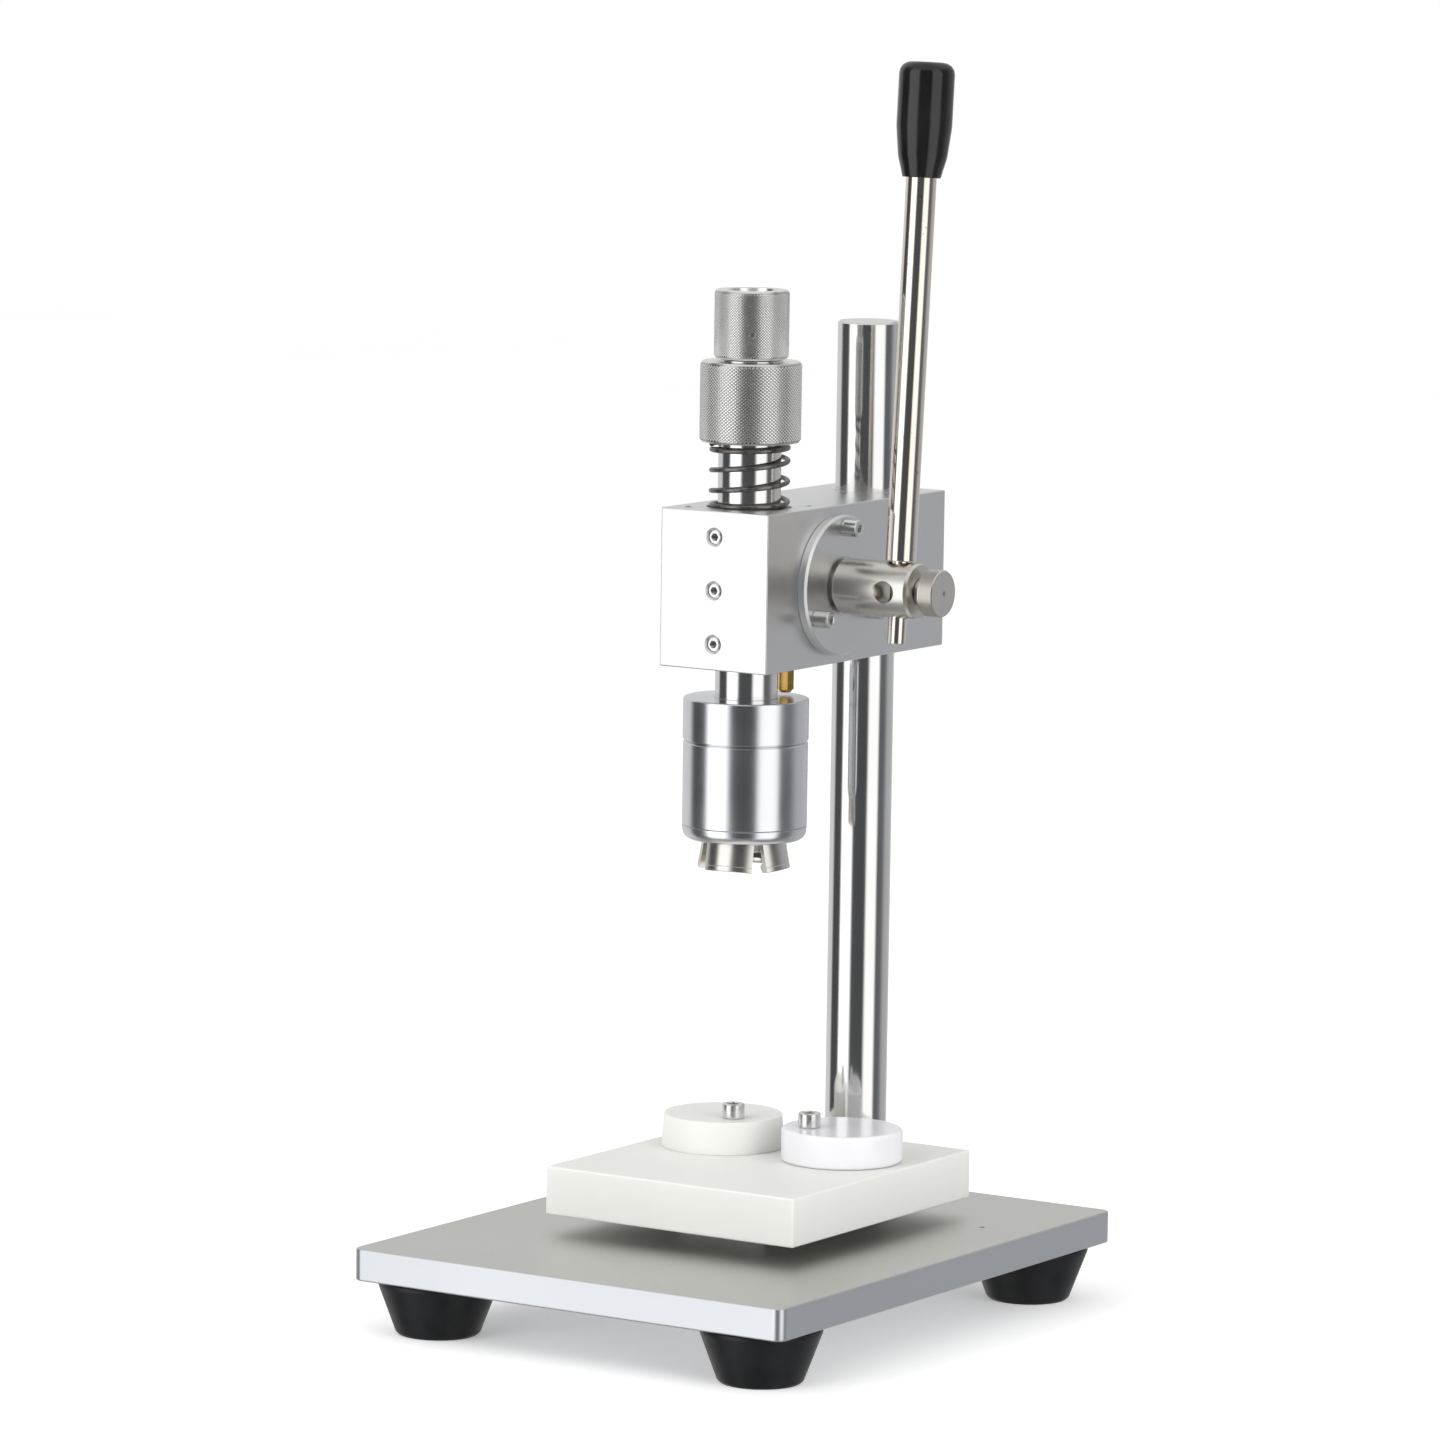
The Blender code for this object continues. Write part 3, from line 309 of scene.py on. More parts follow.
def towards(origin, direction):
    """A placing whose local Z runs from origin along direction."""
    turn = Vector(direction).to_track_quat("Z", "Y").to_matrix().to_4x4()
    return Matrix.Translation(origin) @ turn


def settle(obj):
    """Turns the object's modifiers into its mesh."""
    graph = bpy.context.evaluated_depsgraph_get()
    mesh = bpy.data.meshes.new_from_object(obj.evaluated_get(graph))
    obj.modifiers.clear()
    obj.data = mesh
    return obj


def combine(obj, tool, operation="DIFFERENCE", solver="EXACT"):
    """Applies one Boolean and removes its tool."""
    modifier = obj.modifiers.new("boolean", "BOOLEAN")
    modifier.operation = operation
    modifier.solver = solver
    modifier.object = tool
    settle(obj)
    bpy.data.objects.remove(tool, do_unlink=True)
    return obj


def drill(obj, radius, start, end, flare=0.0, sides=SMALL, solver="EXACT"):
    """A round hole from start out through the face at end, its mouth widened by flare."""
    run = Vector(end) - Vector(start)
    depth = run.length
    profile = [(0, 0), (radius, 0), (radius, depth - flare)]
    profile += [(radius + flare + OVER if flare else radius, depth + OVER), (0, depth + OVER)]
    return combine(obj, lathe("drill", profile, towards(start, run), sides), solver=solver)


def socket(obj, across, mouth, direction, depth):
    """A hexagon socket sunk from mouth along direction."""
    corner = across / 3**0.5
    outline = [(corner * cos(pi * k / 3), corner * sin(pi * k / 3)) for k in range(6)]
    return combine(obj, prism("socket", outline, -OVER, depth, towards(mouth, direction)))


# ---------------------------------------------------------------- materials


class Finish:
    """A Principled BSDF whose colour, roughness and surface vary over the piece."""

    def __init__(self, slot, metallic, **constants):
        self.material = bpy.data.materials.new(slot)
        self.material.use_nodes = True
        self.tree = self.material.node_tree
        self.shader = self.tree.nodes["Principled BSDF"]
        self.shader.inputs["Metallic"].default_value = metallic
        for name, value in constants.items():
            self.shader.inputs[name.replace("_", " ")].default_value = value
        self.where = self.add("ShaderNodeTexCoord").outputs["Object"]
        self.surface = None

    def add(self, kind, **values):
        node = self.tree.nodes.new(kind)
        for name, value in values.items():
            setattr(node, name, value)
        return node

    def link(self, source, target):
        self.tree.links.new(source, target)

    def noise(self, scale, stretch=(1, 1, 1), detail=3.0, low=0.35, high=0.65):
        """Noise from 0 to 1, with features about 1/scale metres across."""
        mapping = self.add("ShaderNodeMapping")
        mapping.inputs["Scale"].default_value = stretch
        self.link(self.where, mapping.inputs["Vector"])
        noise = self.add("ShaderNodeTexNoise")
        noise.inputs["Scale"].default_value = scale
        noise.inputs["Detail"].default_value = detail
        self.link(mapping.outputs["Vector"], noise.inputs["Vector"])
        spread = self.add("ShaderNodeMapRange")
        spread.inputs["From Min"].default_value = low
        spread.inputs["From Max"].default_value = high
        self.link(noise.outputs["Fac"], spread.inputs["Value"])
        return spread.outputs["Result"]

    def facing(self, axis, low, high):
        """From 0 to 1 as the surface turns towards +X, +Y or +Z (axis 0, 1, 2)."""
        split = self.add("ShaderNodeSeparateXYZ")
        coords = self.add("ShaderNodeTexCoord")
        self.link(coords.outputs["Normal"], split.inputs["Vector"])
        spread = self.add("ShaderNodeMapRange")
        spread.inputs["From Min"].default_value = low
        spread.inputs["From Max"].default_value = high
        self.link(split.outputs[axis], spread.inputs["Value"])
        return spread.outputs["Result"]

    def mix(self, factor, first, second):
        """A colour between two, each of which is a colour or another mix."""
        node = self.add("ShaderNodeMix", data_type="RGBA")
        self.link(factor, node.inputs[0])
        for entry, value in ((6, first), (7, second)):
            if isinstance(value, tuple):
                node.inputs[entry].default_value = (*value, 1)
            else:
                self.link(value, node.inputs[entry])
        return node.outputs[2]

    def color(self, source):
        self.link(source, self.shader.inputs["Base Color"])
        return self

    def roughness(self, source, low, high):
        spread = self.add("ShaderNodeMapRange")
        spread.inputs["To Min"].default_value = low
        spread.inputs["To Max"].default_value = high
        self.link(source, spread.inputs["Value"])
        self.link(spread.outputs["Result"], self.shader.inputs["Roughness"])
        return self

    def bump(self, source, height, strength=1.0):
        """A relief of that many millimetres, on top of any before it."""
        node = self.add("ShaderNodeBump")
        node.inputs["Strength"].default_value = strength
        node.inputs["Distance"].default_value = height * MM
        self.link(source, node.inputs["Height"])
        if self.surface is not None:
            self.link(self.surface, node.inputs["Normal"])
        self.surface = node.outputs["Normal"]
        self.link(self.surface, self.shader.inputs["Normal"])
        return self

    def turned(self, axis="Z"):
        """Stretches reflections along the axis, as turning marks do."""
        tangent = self.add("ShaderNodeTangent", direction_type="RADIAL", axis=axis)
        self.link(tangent.outputs["Tangent"], self.shader.inputs["Tangent"])
        return self


def plate_aluminium():
    made = Finish("plate_aluminium", 1.0)
    patches = made.noise(9, detail=2)
    specks = made.noise(1100, detail=1, low=0.21, high=0.25)
    body = made.mix(patches, (0.625, 0.625, 0.595), (0.650, 0.650, 0.620))
    body = made.mix(specks, (0.36, 0.36, 0.34), body)
    # Faces that turn away from +Z get a brighter, cooler colour than the top: the brushed sides'
    # own tone together with a painted cool reflection on them.
    made.color(made.mix(made.facing(2, 0.3, 0.8), (0.72, 0.74, 0.77), body))
    return made.roughness(patches, 0.36, 0.40).bump(made.noise(2600, detail=2), 0.008, 0.5)


def block_aluminium():
    made = Finish("block_aluminium", 1.0)
    patches = made.noise(14, detail=3)
    made.color(made.mix(patches, (0.80, 0.805, 0.81), (0.83, 0.83, 0.83)))
    return made.roughness(patches, 0.32, 0.36).bump(made.noise(3200, detail=2), 0.008, 0.6)


def turned_aluminium():
    made = Finish("turned_aluminium", 1.0, Anisotropic=0.65)
    marks = made.noise(60, (1, 1, 60), detail=4)
    cloud = made.noise(35, detail=4)
    made.color(made.mix(cloud, (0.76, 0.77, 0.80), (0.82, 0.825, 0.845)))
    return made.roughness(cloud, 0.16, 0.22).bump(marks, 0.003, 0.6).turned()


def hard_chrome():
    made = Finish("hard_chrome", 1.0, Anisotropic=0.5)
    marks = made.noise(90, (1, 1, 30), detail=4)
    cloud = made.noise(18, detail=3)
    made.color(made.mix(cloud, (0.74, 0.735, 0.72), (0.80, 0.80, 0.79)))
    return made.roughness(cloud, 0.09, 0.13).bump(marks, 0.0015, 0.4).turned()


def nickel():
    made = Finish("nickel", 1.0, Anisotropic=0.4)
    cloud = made.noise(18, detail=3)
    pits = made.noise(700, detail=1, low=0.24, high=0.30)
    warm = made.mix(cloud, (0.80, 0.745, 0.68), (0.84, 0.79, 0.73))
    made.color(made.mix(pits, (0.50, 0.45, 0.40), warm))
    return made.roughness(cloud, 0.08, 0.12).bump(pits, 0.002, 0.3).turned()


def knurled_steel():
    made = Finish("knurled_steel", 1.0)
    cloud = made.noise(90, detail=3)
    groove_shade = made.add("ShaderNodeAttribute", attribute_name=GROOVE_SHADE).outputs["Fac"]
    bright = made.mix(cloud, (0.88, 0.88, 0.87), (0.93, 0.93, 0.92))
    # The groove bottoms get a darker colour: painted shade in the knurl's recesses.
    made.color(made.mix(groove_shade, bright, (0.52, 0.52, 0.51)))
    return made.roughness(cloud, 0.20, 0.28).bump(made.noise(2200), 0.003, 0.4)


def satin_steel():
    made = Finish("satin_steel", 1.0, Anisotropic=0.35)
    cloud = made.noise(20, detail=2)
    made.color(made.mix(cloud, (0.70, 0.675, 0.635), (0.73, 0.705, 0.665)))
    made.roughness(cloud, 0.24, 0.28).bump(made.noise(500, (6, 1, 1)), 0.0015, 0.4)
    return made.turned("X")


def bright_steel():
    made = Finish("bright_steel", 1.0)
    cloud = made.noise(160, detail=3)
    made.color(made.mix(cloud, (0.72, 0.72, 0.71), (0.78, 0.78, 0.77)))
    return made.roughness(cloud, 0.16, 0.24).bump(made.noise(1800), 0.002, 0.3)


def dark_steel():
    made = Finish("dark_steel", 1.0)
    cloud = made.noise(400, detail=4)
    made.color(made.mix(cloud, (0.13, 0.125, 0.12), (0.27, 0.26, 0.25)))
    return made.roughness(cloud, 0.25, 0.42).bump(made.noise(2400), 0.004, 0.5)


def brass():
    made = Finish("brass", 1.0)
    cloud = made.noise(300, detail=4)
    made.color(made.mix(cloud, (0.72, 0.44, 0.12), (0.82, 0.57, 0.21)))
    return made.roughness(cloud, 0.18, 0.28).bump(made.noise(900, (1, 1, 5)), 0.002, 0.4)


def foot_rubber():
    made = Finish("foot_rubber", 0.0, Specular_IOR_Level=0.35)
    cloud = made.noise(120, detail=4)
    made.color(made.mix(cloud, (0.0060, 0.0065, 0.0075), (0.0100, 0.0105, 0.0120)))
    return made.roughness(cloud, 0.36, 0.46).bump(made.noise(1500), 0.01, 0.4)


def grip_plastic():
    made = Finish("grip_plastic", 0.0)
    cloud = made.noise(70, detail=4)
    made.color(made.mix(cloud, (0.006, 0.006, 0.006), (0.010, 0.010, 0.010)))
    return made.roughness(cloud, 0.08, 0.15).bump(made.noise(260), 0.004, 0.4)


def platform_nylon():
    nylon = {"Subsurface_Weight": 0.3, "Subsurface_Scale": 0.004, "Subsurface_Radius": (1, 1, 1)}
    made = Finish("platform_nylon", 0.0, **nylon)
    cloud = made.noise(25, detail=2)
    made.color(made.mix(cloud, (0.785, 0.785, 0.755), (0.805, 0.805, 0.775)))
    return made.roughness(cloud, 0.38, 0.46).bump(made.noise(60, (14, 1, 14)), 0.004, 0.3)


def pad_nylon():
    nylon = {"Subsurface_Weight": 0.3, "Subsurface_Scale": 0.004, "Subsurface_Radius": (1, 1, 1)}
    made = Finish("pad_nylon", 0.0, **nylon)
    cloud = made.noise(40, detail=2)
    made.color(made.mix(cloud, (0.790, 0.790, 0.815), (0.810, 0.810, 0.835)))
    return made.roughness(cloud, 0.16, 0.22).bump(made.noise(500, (1, 1, 6)), 0.002, 0.3)


MAKERS = (plate_aluminium, block_aluminium, turned_aluminium, hard_chrome, nickel)
MAKERS += (satin_steel, bright_steel, dark_steel, brass, foot_rubber, grip_plastic)
MAKERS += (knurled_steel, platform_nylon, pad_nylon)
FINISHES = {maker.__name__: maker().material for maker in MAKERS}
SLOT_OF = {row["node"]: row["material_slot"] for row in frame["record"]["subparts"]}


def dress(obj, body, *nodes, sharp=34, milled=False):
    """Smooths a new piece, gives it its nodes' finish, and puts it on their body. A
    milled piece keeps its large faces flat."""
    slot = SLOT_OF[nodes[0]]
    mesh = obj.data
    mesh.materials.clear()
    mesh.materials.append(FINISHES[slot])
    mesh.shade_smooth()
    mesh.set_sharp_from_angle(angle=radians(sharp))
    if milled:
        for face in mesh.polygons:
            face.use_smooth = face.area < FLAT_AREA
    else:
        modifier = obj.modifiers.new("weighted_normal", "WEIGHTED_NORMAL")
        modifier.keep_sharp = True
    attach(obj, body)
    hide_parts(*nodes)
    return obj


# ---------------------------------------------------------------- base


def drill_underside(plate):
    """The post bolt's recess, the foot screws' holes and the platform screws' sinks."""
    low, bolt = PLATE.low.z, Place("post_bolt")
    recess_top = low + 5.8 + 0.2
    drill(plate, bolt.radius + 0.8, (0, bolt.mid.y, recess_top), (0, bolt.mid.y, low), 0.3)
    for n in range(1, 5):
        screw = Place(f"foot_screw_{n}")
        x, y = screw.mid.x, screw.mid.y
        drill(plate, 2.6, (x, y, screw.high.z + 1), (x, y, low))
    for n in (1, 2):
        y = Place(f"platform_screw_{n}").mid.y
        drill(plate, 2.7, (0, y, PLATE.high.z + OVER), (0, y, low), 2.5)


def base_plate():
    plate = block("plate_milled", PLATE.low, PLATE.high, 0.8, 4.0)
    y, top = POST.mid.y, PLATE.high.z
    drill(plate, POST.radius + RUN, (0, y, POST.low.z - 0.1), (0, y, top), 0.3, FINE)
    drill_underside(plate)
    mark = Vector((*MARK_XY, top))
    drill(plate, MARK_R, mark - Vector((0, 0, MARK_DEPTH)), mark, 0.15, 24)
    dress(plate, "base", "base_plate", milled=True)


def feet():
    for n in range(1, 5):
        foot = Place(f"foot_{n}")
        top, wide = foot.high.z, foot.radius
        profile = [
            (2.8, top),
            (wide, top, 0.9),
            (wide - 0.3, top - 2.0, 0.8),
            (16.9, 1.1, 1.2),
            (15.7, 0, 0.5),
            (7.0, 0, 0.4),
            (7.0, 10),
            (2.8, 10),
        ]
        at = Matrix.Translation((foot.mid.x, foot.mid.y, 0))
        dress(lathe(f"foot_moulded_{n}", profile, at), "base", f"foot_{n}")


def platform():
    slab = block("platform_milled", PLATFORM.low, PLATFORM.high, 0.7)
    y = POST.mid.y
    low, top = PLATFORM.low.z - OVER, PLATFORM.high.z
    drill(slab, POST.radius + 0.5, (0, y, low), (0, y, top), 0.4, FINE)
    dress(slab, "base", "platform", milled=True)


def post():
    r, low, top = POST.radius, POST.low.z, POST.high.z
    profile = [(0, low), (r, low), (r, top - 0.9, 0.2), (r - 0.9, top, 0.2), (0, top)]
    at = Matrix.Translation((0, POST.mid.y, 0))
    dress(lathe("post_ground", profile, at), "column", "post")


def change_parts():
    for side in ("right", "left"):
        pad = Place(f"pad_{side}")
        low, top, wide = pad.low.z, pad.high.z, pad.radius
        if side == "right":
            profile = [(0, low), (wide, low, 1.2), (wide, top, 1.6), (0, top)]
        else:
            profile = [(0, low), (wide, low, 0.1), (wide - 1.0, top, 0.15), (0, top)]
        at = Matrix.Translation((pad.mid.x, pad.mid.y, 0))
        dress(lathe(f"pad_turned_{side}", profile, at), f"pad_{side}", f"pad_{side}")
        bush = Place(f"bush_{side}")
        low, top, wide, bore = bush.low.z, bush.high.z, bush.radius, 2.6
        profile = [
            (bore + 0.45, low),
            (wide - 0.45, low, 0.08),
            (wide, low + 0.45, 0.08),
            (wide, top - 0.45, 0.08),
            (wide - 0.45, top, 0.08),
            (bore + 0.5, top, 0.08),
            (bore, top - 0.5, 0.08),
            (bore, low + 0.45),
        ]
        at = Matrix.Translation((bush.mid.x, bush.mid.y, 0))
        dress(lathe(f"bush_turned_{side}", profile, at, SMALL), f"bush_{side}", f"bush_{side}")


# ---------------------------------------------------------------- head block


def head_block():
    body = block("block_milled", BLOCK.low, BLOCK.high, 0.5)
    low, top = BLOCK.low.z, BLOCK.high.z
    down = low - OVER
    y_post = POST.mid.y
    drill(body, SPINDLE.radius + RUN, (0, 0, down), (0, 0, top), 0, FINE)
    drill(body, SPINDLE.radius + RUN, (0, 0, top), (0, 0, low), 0.4, FINE)
    drill(body, SEAT_R, (0, 0, top - SEAT_DEPTH), (0, 0, top), 0.3, FINE)
    drill(body, POST.radius + RUN, (0, y_post, down), (0, y_post, top), 0.4, FINE)
    drill(body, POST.radius + RUN, (0, y_post, top), (0, y_post, low), 0.4, FINE)
    left, right = BLOCK.low.x, BLOCK.high.x
    axis = (SHAFT_AXIS.y, SHAFT_AXIS.z)
    drill(body, BEARING_BORE, (BEARING_SEAT_X, *axis), (right, *axis), 0, FINE)
    for n in range(1, 4):
        screw = Place(f"key_screw_{n}")
        inner = (0, -SPINDLE.radius + OVER, screw.mid.z)
        drill(body, screw.radius + 0.15, inner, (0, BLOCK.low.y, screw.mid.z), 0.75)
    for n in range(1, 3):
        screw = Place(f"clamp_screw_{n}")
        spot = (y_post, screw.mid.z)
        drill(body, screw.size.z / 2 + 0.15, (-8, *spot), (left, *spot), 0.6)
    for sign in (-1, 1):
        x = y = sign * TOP_HOLE_XY
        drill(body, TOP_HOLE_R, (x, y, top - TOP_HOLE_DEPTH), (x, y, top), 0.45)
    dress(body, "head", "head_block", milled=True)


def grub(name, node, body, radius, outer, inward, length, across):
    """A headless socket screw from its outer end, along inward."""
    profile = [(0, 0), (radius - 0.5, 0, 0.1), (radius, 0.5, 0.1)]
    profile += [(radius, length - 0.8), (radius - 0.8, length), (0, length)]
    screw = lathe(name, profile, towards(outer, inward), SMALL)
    socket(screw, across, outer, inward, min(3.2, length * 0.4))
    dress(screw, body, node)


def head_screws():
    for n in range(1, 4):
        spot = Place(f"key_screw_{n}")
        outer = (0, spot.low.y, spot.mid.z)
        place = (f"key_screw_cut_{n}", f"key_screw_{n}", "head")
        grub(*place, spot.radius, outer, (0, 1, 0), spot.size.y, 3.0)
    for n in range(1, 3):
        spot = Place(f"clamp_screw_{n}")
        outer = (spot.low.x, spot.mid.y, spot.mid.z)
        place = (f"clamp_screw_cut_{n}", f"clamp_screw_{n}", "head")
        grub(*place, spot.size.z / 2, outer, (1, 0, 0), spot.size.x, 4.0)


def up_stop():
    """The brass stop: a hexagon with both ends chamfered in the lathe."""
    stop = Place("up_stop")
    tip, corner = stop.low.z, 3.4
    at = Matrix.Translation((stop.mid.x, stop.mid.y, 0))
    outline = [(corner * cos(0.3 + pi * k / 3), corner * sin(0.3 + pi * k / 3)) for k in range(6)]
    hexed = prism("stop_hexagon", outline, tip, BLOCK.low.z - 0.1, at)
    shape = [
        (0, tip),
        (corner * 0.6, tip, 0.1),
        (corner * 0.85, tip + 1.0),
        (corner * 1.01, tip + 1.5),
        (corner * 1.01, BLOCK.low.z - 0.7),
        (corner * 0.88, BLOCK.low.z - 0.1),
        (0, BLOCK.low.z - 0.1),
    ]
    combine(hexed, lathe("stop_rims", shape, at, SMALL), "INTERSECT")
    dress(hexed, "head", "up_stop", sharp=25)


def bearing_flange():
    x0, x1, wide = FLANGE.high.x - 3.9, FLANGE.high.x, FLANGE.size.y / 2
    bore = SHAFT_BORE
    profile = [
        (bore, FLANGE.low.x),
        (16.3, FLANGE.low.x),
        (16.3, x0),
        (wide, x0, 0.35),
        (wide, x1 - 0.9, 0.1),
        (wide - 0.9, x1, 0.1),
        (bore + 3.6, x1, 0.1),
        (bore + 3.4, x1 - 0.25),
        (bore, x1 - 0.25),
    ]
    at = towards((0, SHAFT_AXIS.y, SHAFT_AXIS.z), (1, 0, 0))
    dress(lathe("flange_turned", profile, at), "head", "bearing_flange")


def flange_screws():
    for n, degrees in enumerate(FLANGE_SCREW_ANGLES, 1):
        spot = Place(f"flange_screw_{n}")
        y = SHAFT_AXIS.y + FLANGE_SCREW_CIRCLE * cos(radians(degrees))
        z = SHAFT_AXIS.z + FLANGE_SCREW_CIRCLE * sin(radians(degrees))
        head_r, shank = spot.size.z / 2, FLANGE_SHANK_R
        foot = spot.high.x - FLANGE_HEAD_H
        profile = [
            (0, spot.low.x),
            (shank, spot.low.x),
            (shank, foot),
            (head_r, foot, 0.2),
            (head_r, spot.high.x, 0.55),
            (1.9, spot.high.x, 0.1),
            (1.6, spot.high.x - 0.25),
            (0, spot.high.x - 0.25),
        ]
        at = towards((0, y, z), (1, 0, 0))
        screw = lathe(f"flange_screw_cut_{n}", profile, at, SMALL)
        socket(screw, 3.0, (spot.high.x, y, z), (-1, 0, 0), 2.4)
        dress(screw, "head", f"flange_screw_{n}")


# ---------------------------------------------------------------- lever


def lever_hub():
    r, x0, x1, bore = HUB.size.y / 2, HUB.low.x, HUB.high.x, SHAFT_BORE
    profile = [
        (0, 47.0),
        (bore, 47.0),
        (bore, x0),
        (r, x0, 0.5),
        (r, x1 - 1.3, 0.1),
        (r - 0.5, x1, 0.1),
        (0, x1),
    ]
    at = towards((0, SHAFT_AXIS.y, SHAFT_AXIS.z), (1, 0, 0))
    hub = lathe("hub_turned", profile, at)
    middle = Vector((LEVER_X, SHAFT_AXIS.y, SHAFT_AXIS.z))
    run = 14 * LEVER_ALONG
    drill(hub, SPIGOT_HOLE_R, middle - run, middle + run, 0, 40)
    spare = Vector((SPARE_X, SHAFT_AXIS.y, SHAFT_AXIS.z))
    for side in (Vector((0, -1, 0)), Vector((0, 1, 0))):
        drill(hub, SPARE_R, spare, spare + side * r, 0.7)
    drill(hub, THUMB_STEM_R + 0.2, middle, (x1, middle.y, middle.z), 0, 40)
    dress(hub, "lever", "lever_hub")


def lever_place():
    return towards((LEVER_X, SHAFT_AXIS.y, SHAFT_AXIS.z), LEVER_ALONG)


def lever_rod():
    profile = [
        (0, SPIGOT_END),
        (SPIGOT_R, SPIGOT_END, 0.6),
        (SPIGOT_R, ROD_FOOT),
        (ROD_R, ROD_FOOT, 0.5),
        (ROD_R, ROD_TOP),
        (0, ROD_TOP),
    ]
    dress(lathe("rod_turned", profile, lever_place()), "lever_arm", "lever_rod")


def lever_grip():
    low, top, r = 162.5, 207.9, 11.0
    profile = [
        (ROD_R + RUN, low, 0.2),
        (7.6, low, 0.5),
        (8.3, low + 3.0, 6.0),
        (9.7, low + 8.0, 14.0),
        (r, low + 20.0, 30.0),
        (r, top - 0.1, 4.6),
        (0, top),
        (0, ROD_TOP + RUN),
        (ROD_R + RUN, ROD_TOP + RUN),
    ]
    dress(lathe("grip_moulded", profile, lever_place()), "lever_arm", "lever_grip")


def thumb_screw():
    spot = Place("thumb_screw")
    r, x0, x1 = THUMB_R, THUMB_X, spot.high.x
    stem, neck, inner = THUMB_STEM_R, 5.2, spot.low.x
    start = [(0, inner), (stem, inner), (stem, 64.8), (neck, 64.8), (neck, x0)]
    start += [(r - 0.5, x0, 0.1), (r, x0 + 0.4)]
    end = [(r, x1 - 0.4), (r - 0.5, x1, 0.1), (1.4, x1, 0.2), (0, x1 - 0.7)]
    at = towards((0, SHAFT_AXIS.y, SHAFT_AXIS.z), (1, 0, 0))
    screw = knurled("thumb_knurled", start, end, 0.85, 0.85, 0.24, at)
    dress(screw, "clamp_knob", "thumb_screw", sharp=12)


# ---------------------------------------------------------------- spindle


def rack_comb():
    """The cutter for the rack: a slab in front of the tips, with a wedge for each gap."""
    pitch = pi * PINION_MODULE
    pitch_y = SHAFT_AXIS.y - PINION_MODULE * PINION_TEETH / 2
    tip_y, root_y = pitch_y + 1.2, pitch_y - 1.6
    low, top = 283.0, 319.5
    outline = [(tip_y, low)]
    for n in range(-4, 8):
        z = SHAFT_AXIS.z + pitch * (n + 0.5)
        if low + 2.5 < z < top - 2.5:
            root_half = pitch / 4 + 0.1 - 1.6 * tan(PRESSURE)
            mouth_half = pitch / 4 + 0.1 + 1.2 * tan(PRESSURE)
            outline += [(tip_y, z - mouth_half), (root_y, z - root_half)]
            outline += [(root_y, z + root_half), (tip_y, z + mouth_half)]
    outline += [(tip_y, top), (15.5, top), (15.5, low)]
    yz_to_xyz = Matrix(((0, 0, 1, 0), (1, 0, 0, 0), (0, 1, 0, 0), (0, 0, 0, 1)))
    return prism("rack_comb", outline, -14.5, 14.5, yz_to_xyz)


def spindle():
    r, low, top = SPINDLE.radius, SPINDLE.low.z, SPINDLE.high.z
    bore, mouth = 4.3, 6.5
    profile = [
        (bore, low),
        (r, low),
        (r, top, 0.5),
        (mouth, top),
        (mouth, 375.6),
        (bore, 375.6),
    ]
    shaft = lathe("spindle_ground", profile)
    combine(shaft, rack_comb())
    keyway = block("keyway", (-3.05, -14.5, 265.4), (3.05, -10.6, BLOCK.high.z - SEAT_DEPTH), 0)
    combine(shaft, keyway)
    dress(shaft, "ram", "spindle")


def springs():
    seat = Place("return_spring")
    low, high = seat.low.z, seat.high.z
    wound = coil("return_spring_wound", 15.1, 1.0, low, high, 2.6)
    dress(wound, "head", "return_spring", sharp=60)
    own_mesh(wound)
    seat = Place("jaw_spring")
    low, high = seat.low.z, seat.high.z
    wound = coil("jaw_spring_wound", 7.2, 0.6, low, high, 3)
    dress(wound, "ram", "jaw_spring", sharp=60)
    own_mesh(wound)


def height_collar():
    r, low, top, bore = COLLAR.radius, COLLAR.low.z, COLLAR.high.z, SPINDLE.radius + RUN
    start = [(bore, low), (r - 0.8, low, 0.1), (r, low + 0.8)]
    end = [(r, top - 0.8), (r - 0.8, top, 0.1), (bore + 0.5, top, 0.1), (bore, top - 0.5)]
    ring = knurled("height_collar_knurled", start, end, 1.6, 1.3, 0.38)
    dress(ring, "stroke_collar", "height_collar", sharp=12)


def depth_knob():
    knob = Place("depth_knob")
    r, low, top, bore = knob.radius, knob.low.z, knob.high.z, 4.1
    foot = 383.6
    start = [(bore, low), (6.3, low), (6.3, foot), (r - 0.9, foot, 0.1), (r, foot + 0.9)]
    end = [
        (r, top - 0.8),
        (r - 0.8, top, 0.2),
        (9.7, top, 0.2),
        (8.6, top - 3.2, 0.3),
        (bore, top - 3.2),
    ]
    made = knurled("depth_knob_knurled", start, end, 1.15, 1.1, 0.28)
    turn = radians(-57)
    out = Vector((cos(turn), sin(turn), 0))
    face = out * r + Vector((0, 0, 393.7))
    drill(made, 1.2, face - out * 2.5, face, 0.2, 24, "MANIFOLD")
    dress(made, "knob", "depth_knob", sharp=12)


def plunger():
    rod = Place("plunger_rod")
    r, low, top = rod.radius, rod.low.z, rod.high.z
    profile = [(0, low), (r, low), (r, top, 0.6), (0, top)]
    turned = lathe("plunger_turned", profile, sides=SMALL)
    combine(turned, block("slot", (-6, -0.6, top - 1.6), (6, 0.6, top + OVER), 0))
    dress(turned, "plunger", "plunger_rod")


# ---------------------------------------------------------------- crimp head


def head_collar():
    bore, wide, top = SPINDLE.radius + RUN, HEAD_COLLAR.radius, HEAD_COLLAR.high.z
    low, foot = BELL.high.z + 0.1, HEAD_COLLAR.low.z
    profile = [
        (bore, foot),
        (18.85, foot),
        (18.85, low),
        (wide - 0.7, low),
        (wide, low + 0.7, 0.1),
        (wide, top, 0.8),
        (bore + 0.4, top, 0.1),
        (bore, top - 0.4),
    ]
    collar = lathe("head_collar_turned", profile)
    z = (low + top) / 2
    drill(collar, 2.6, (0, bore - 2, z), (0, wide, z), 0.35)
    dress(collar, "ram", "head_collar")


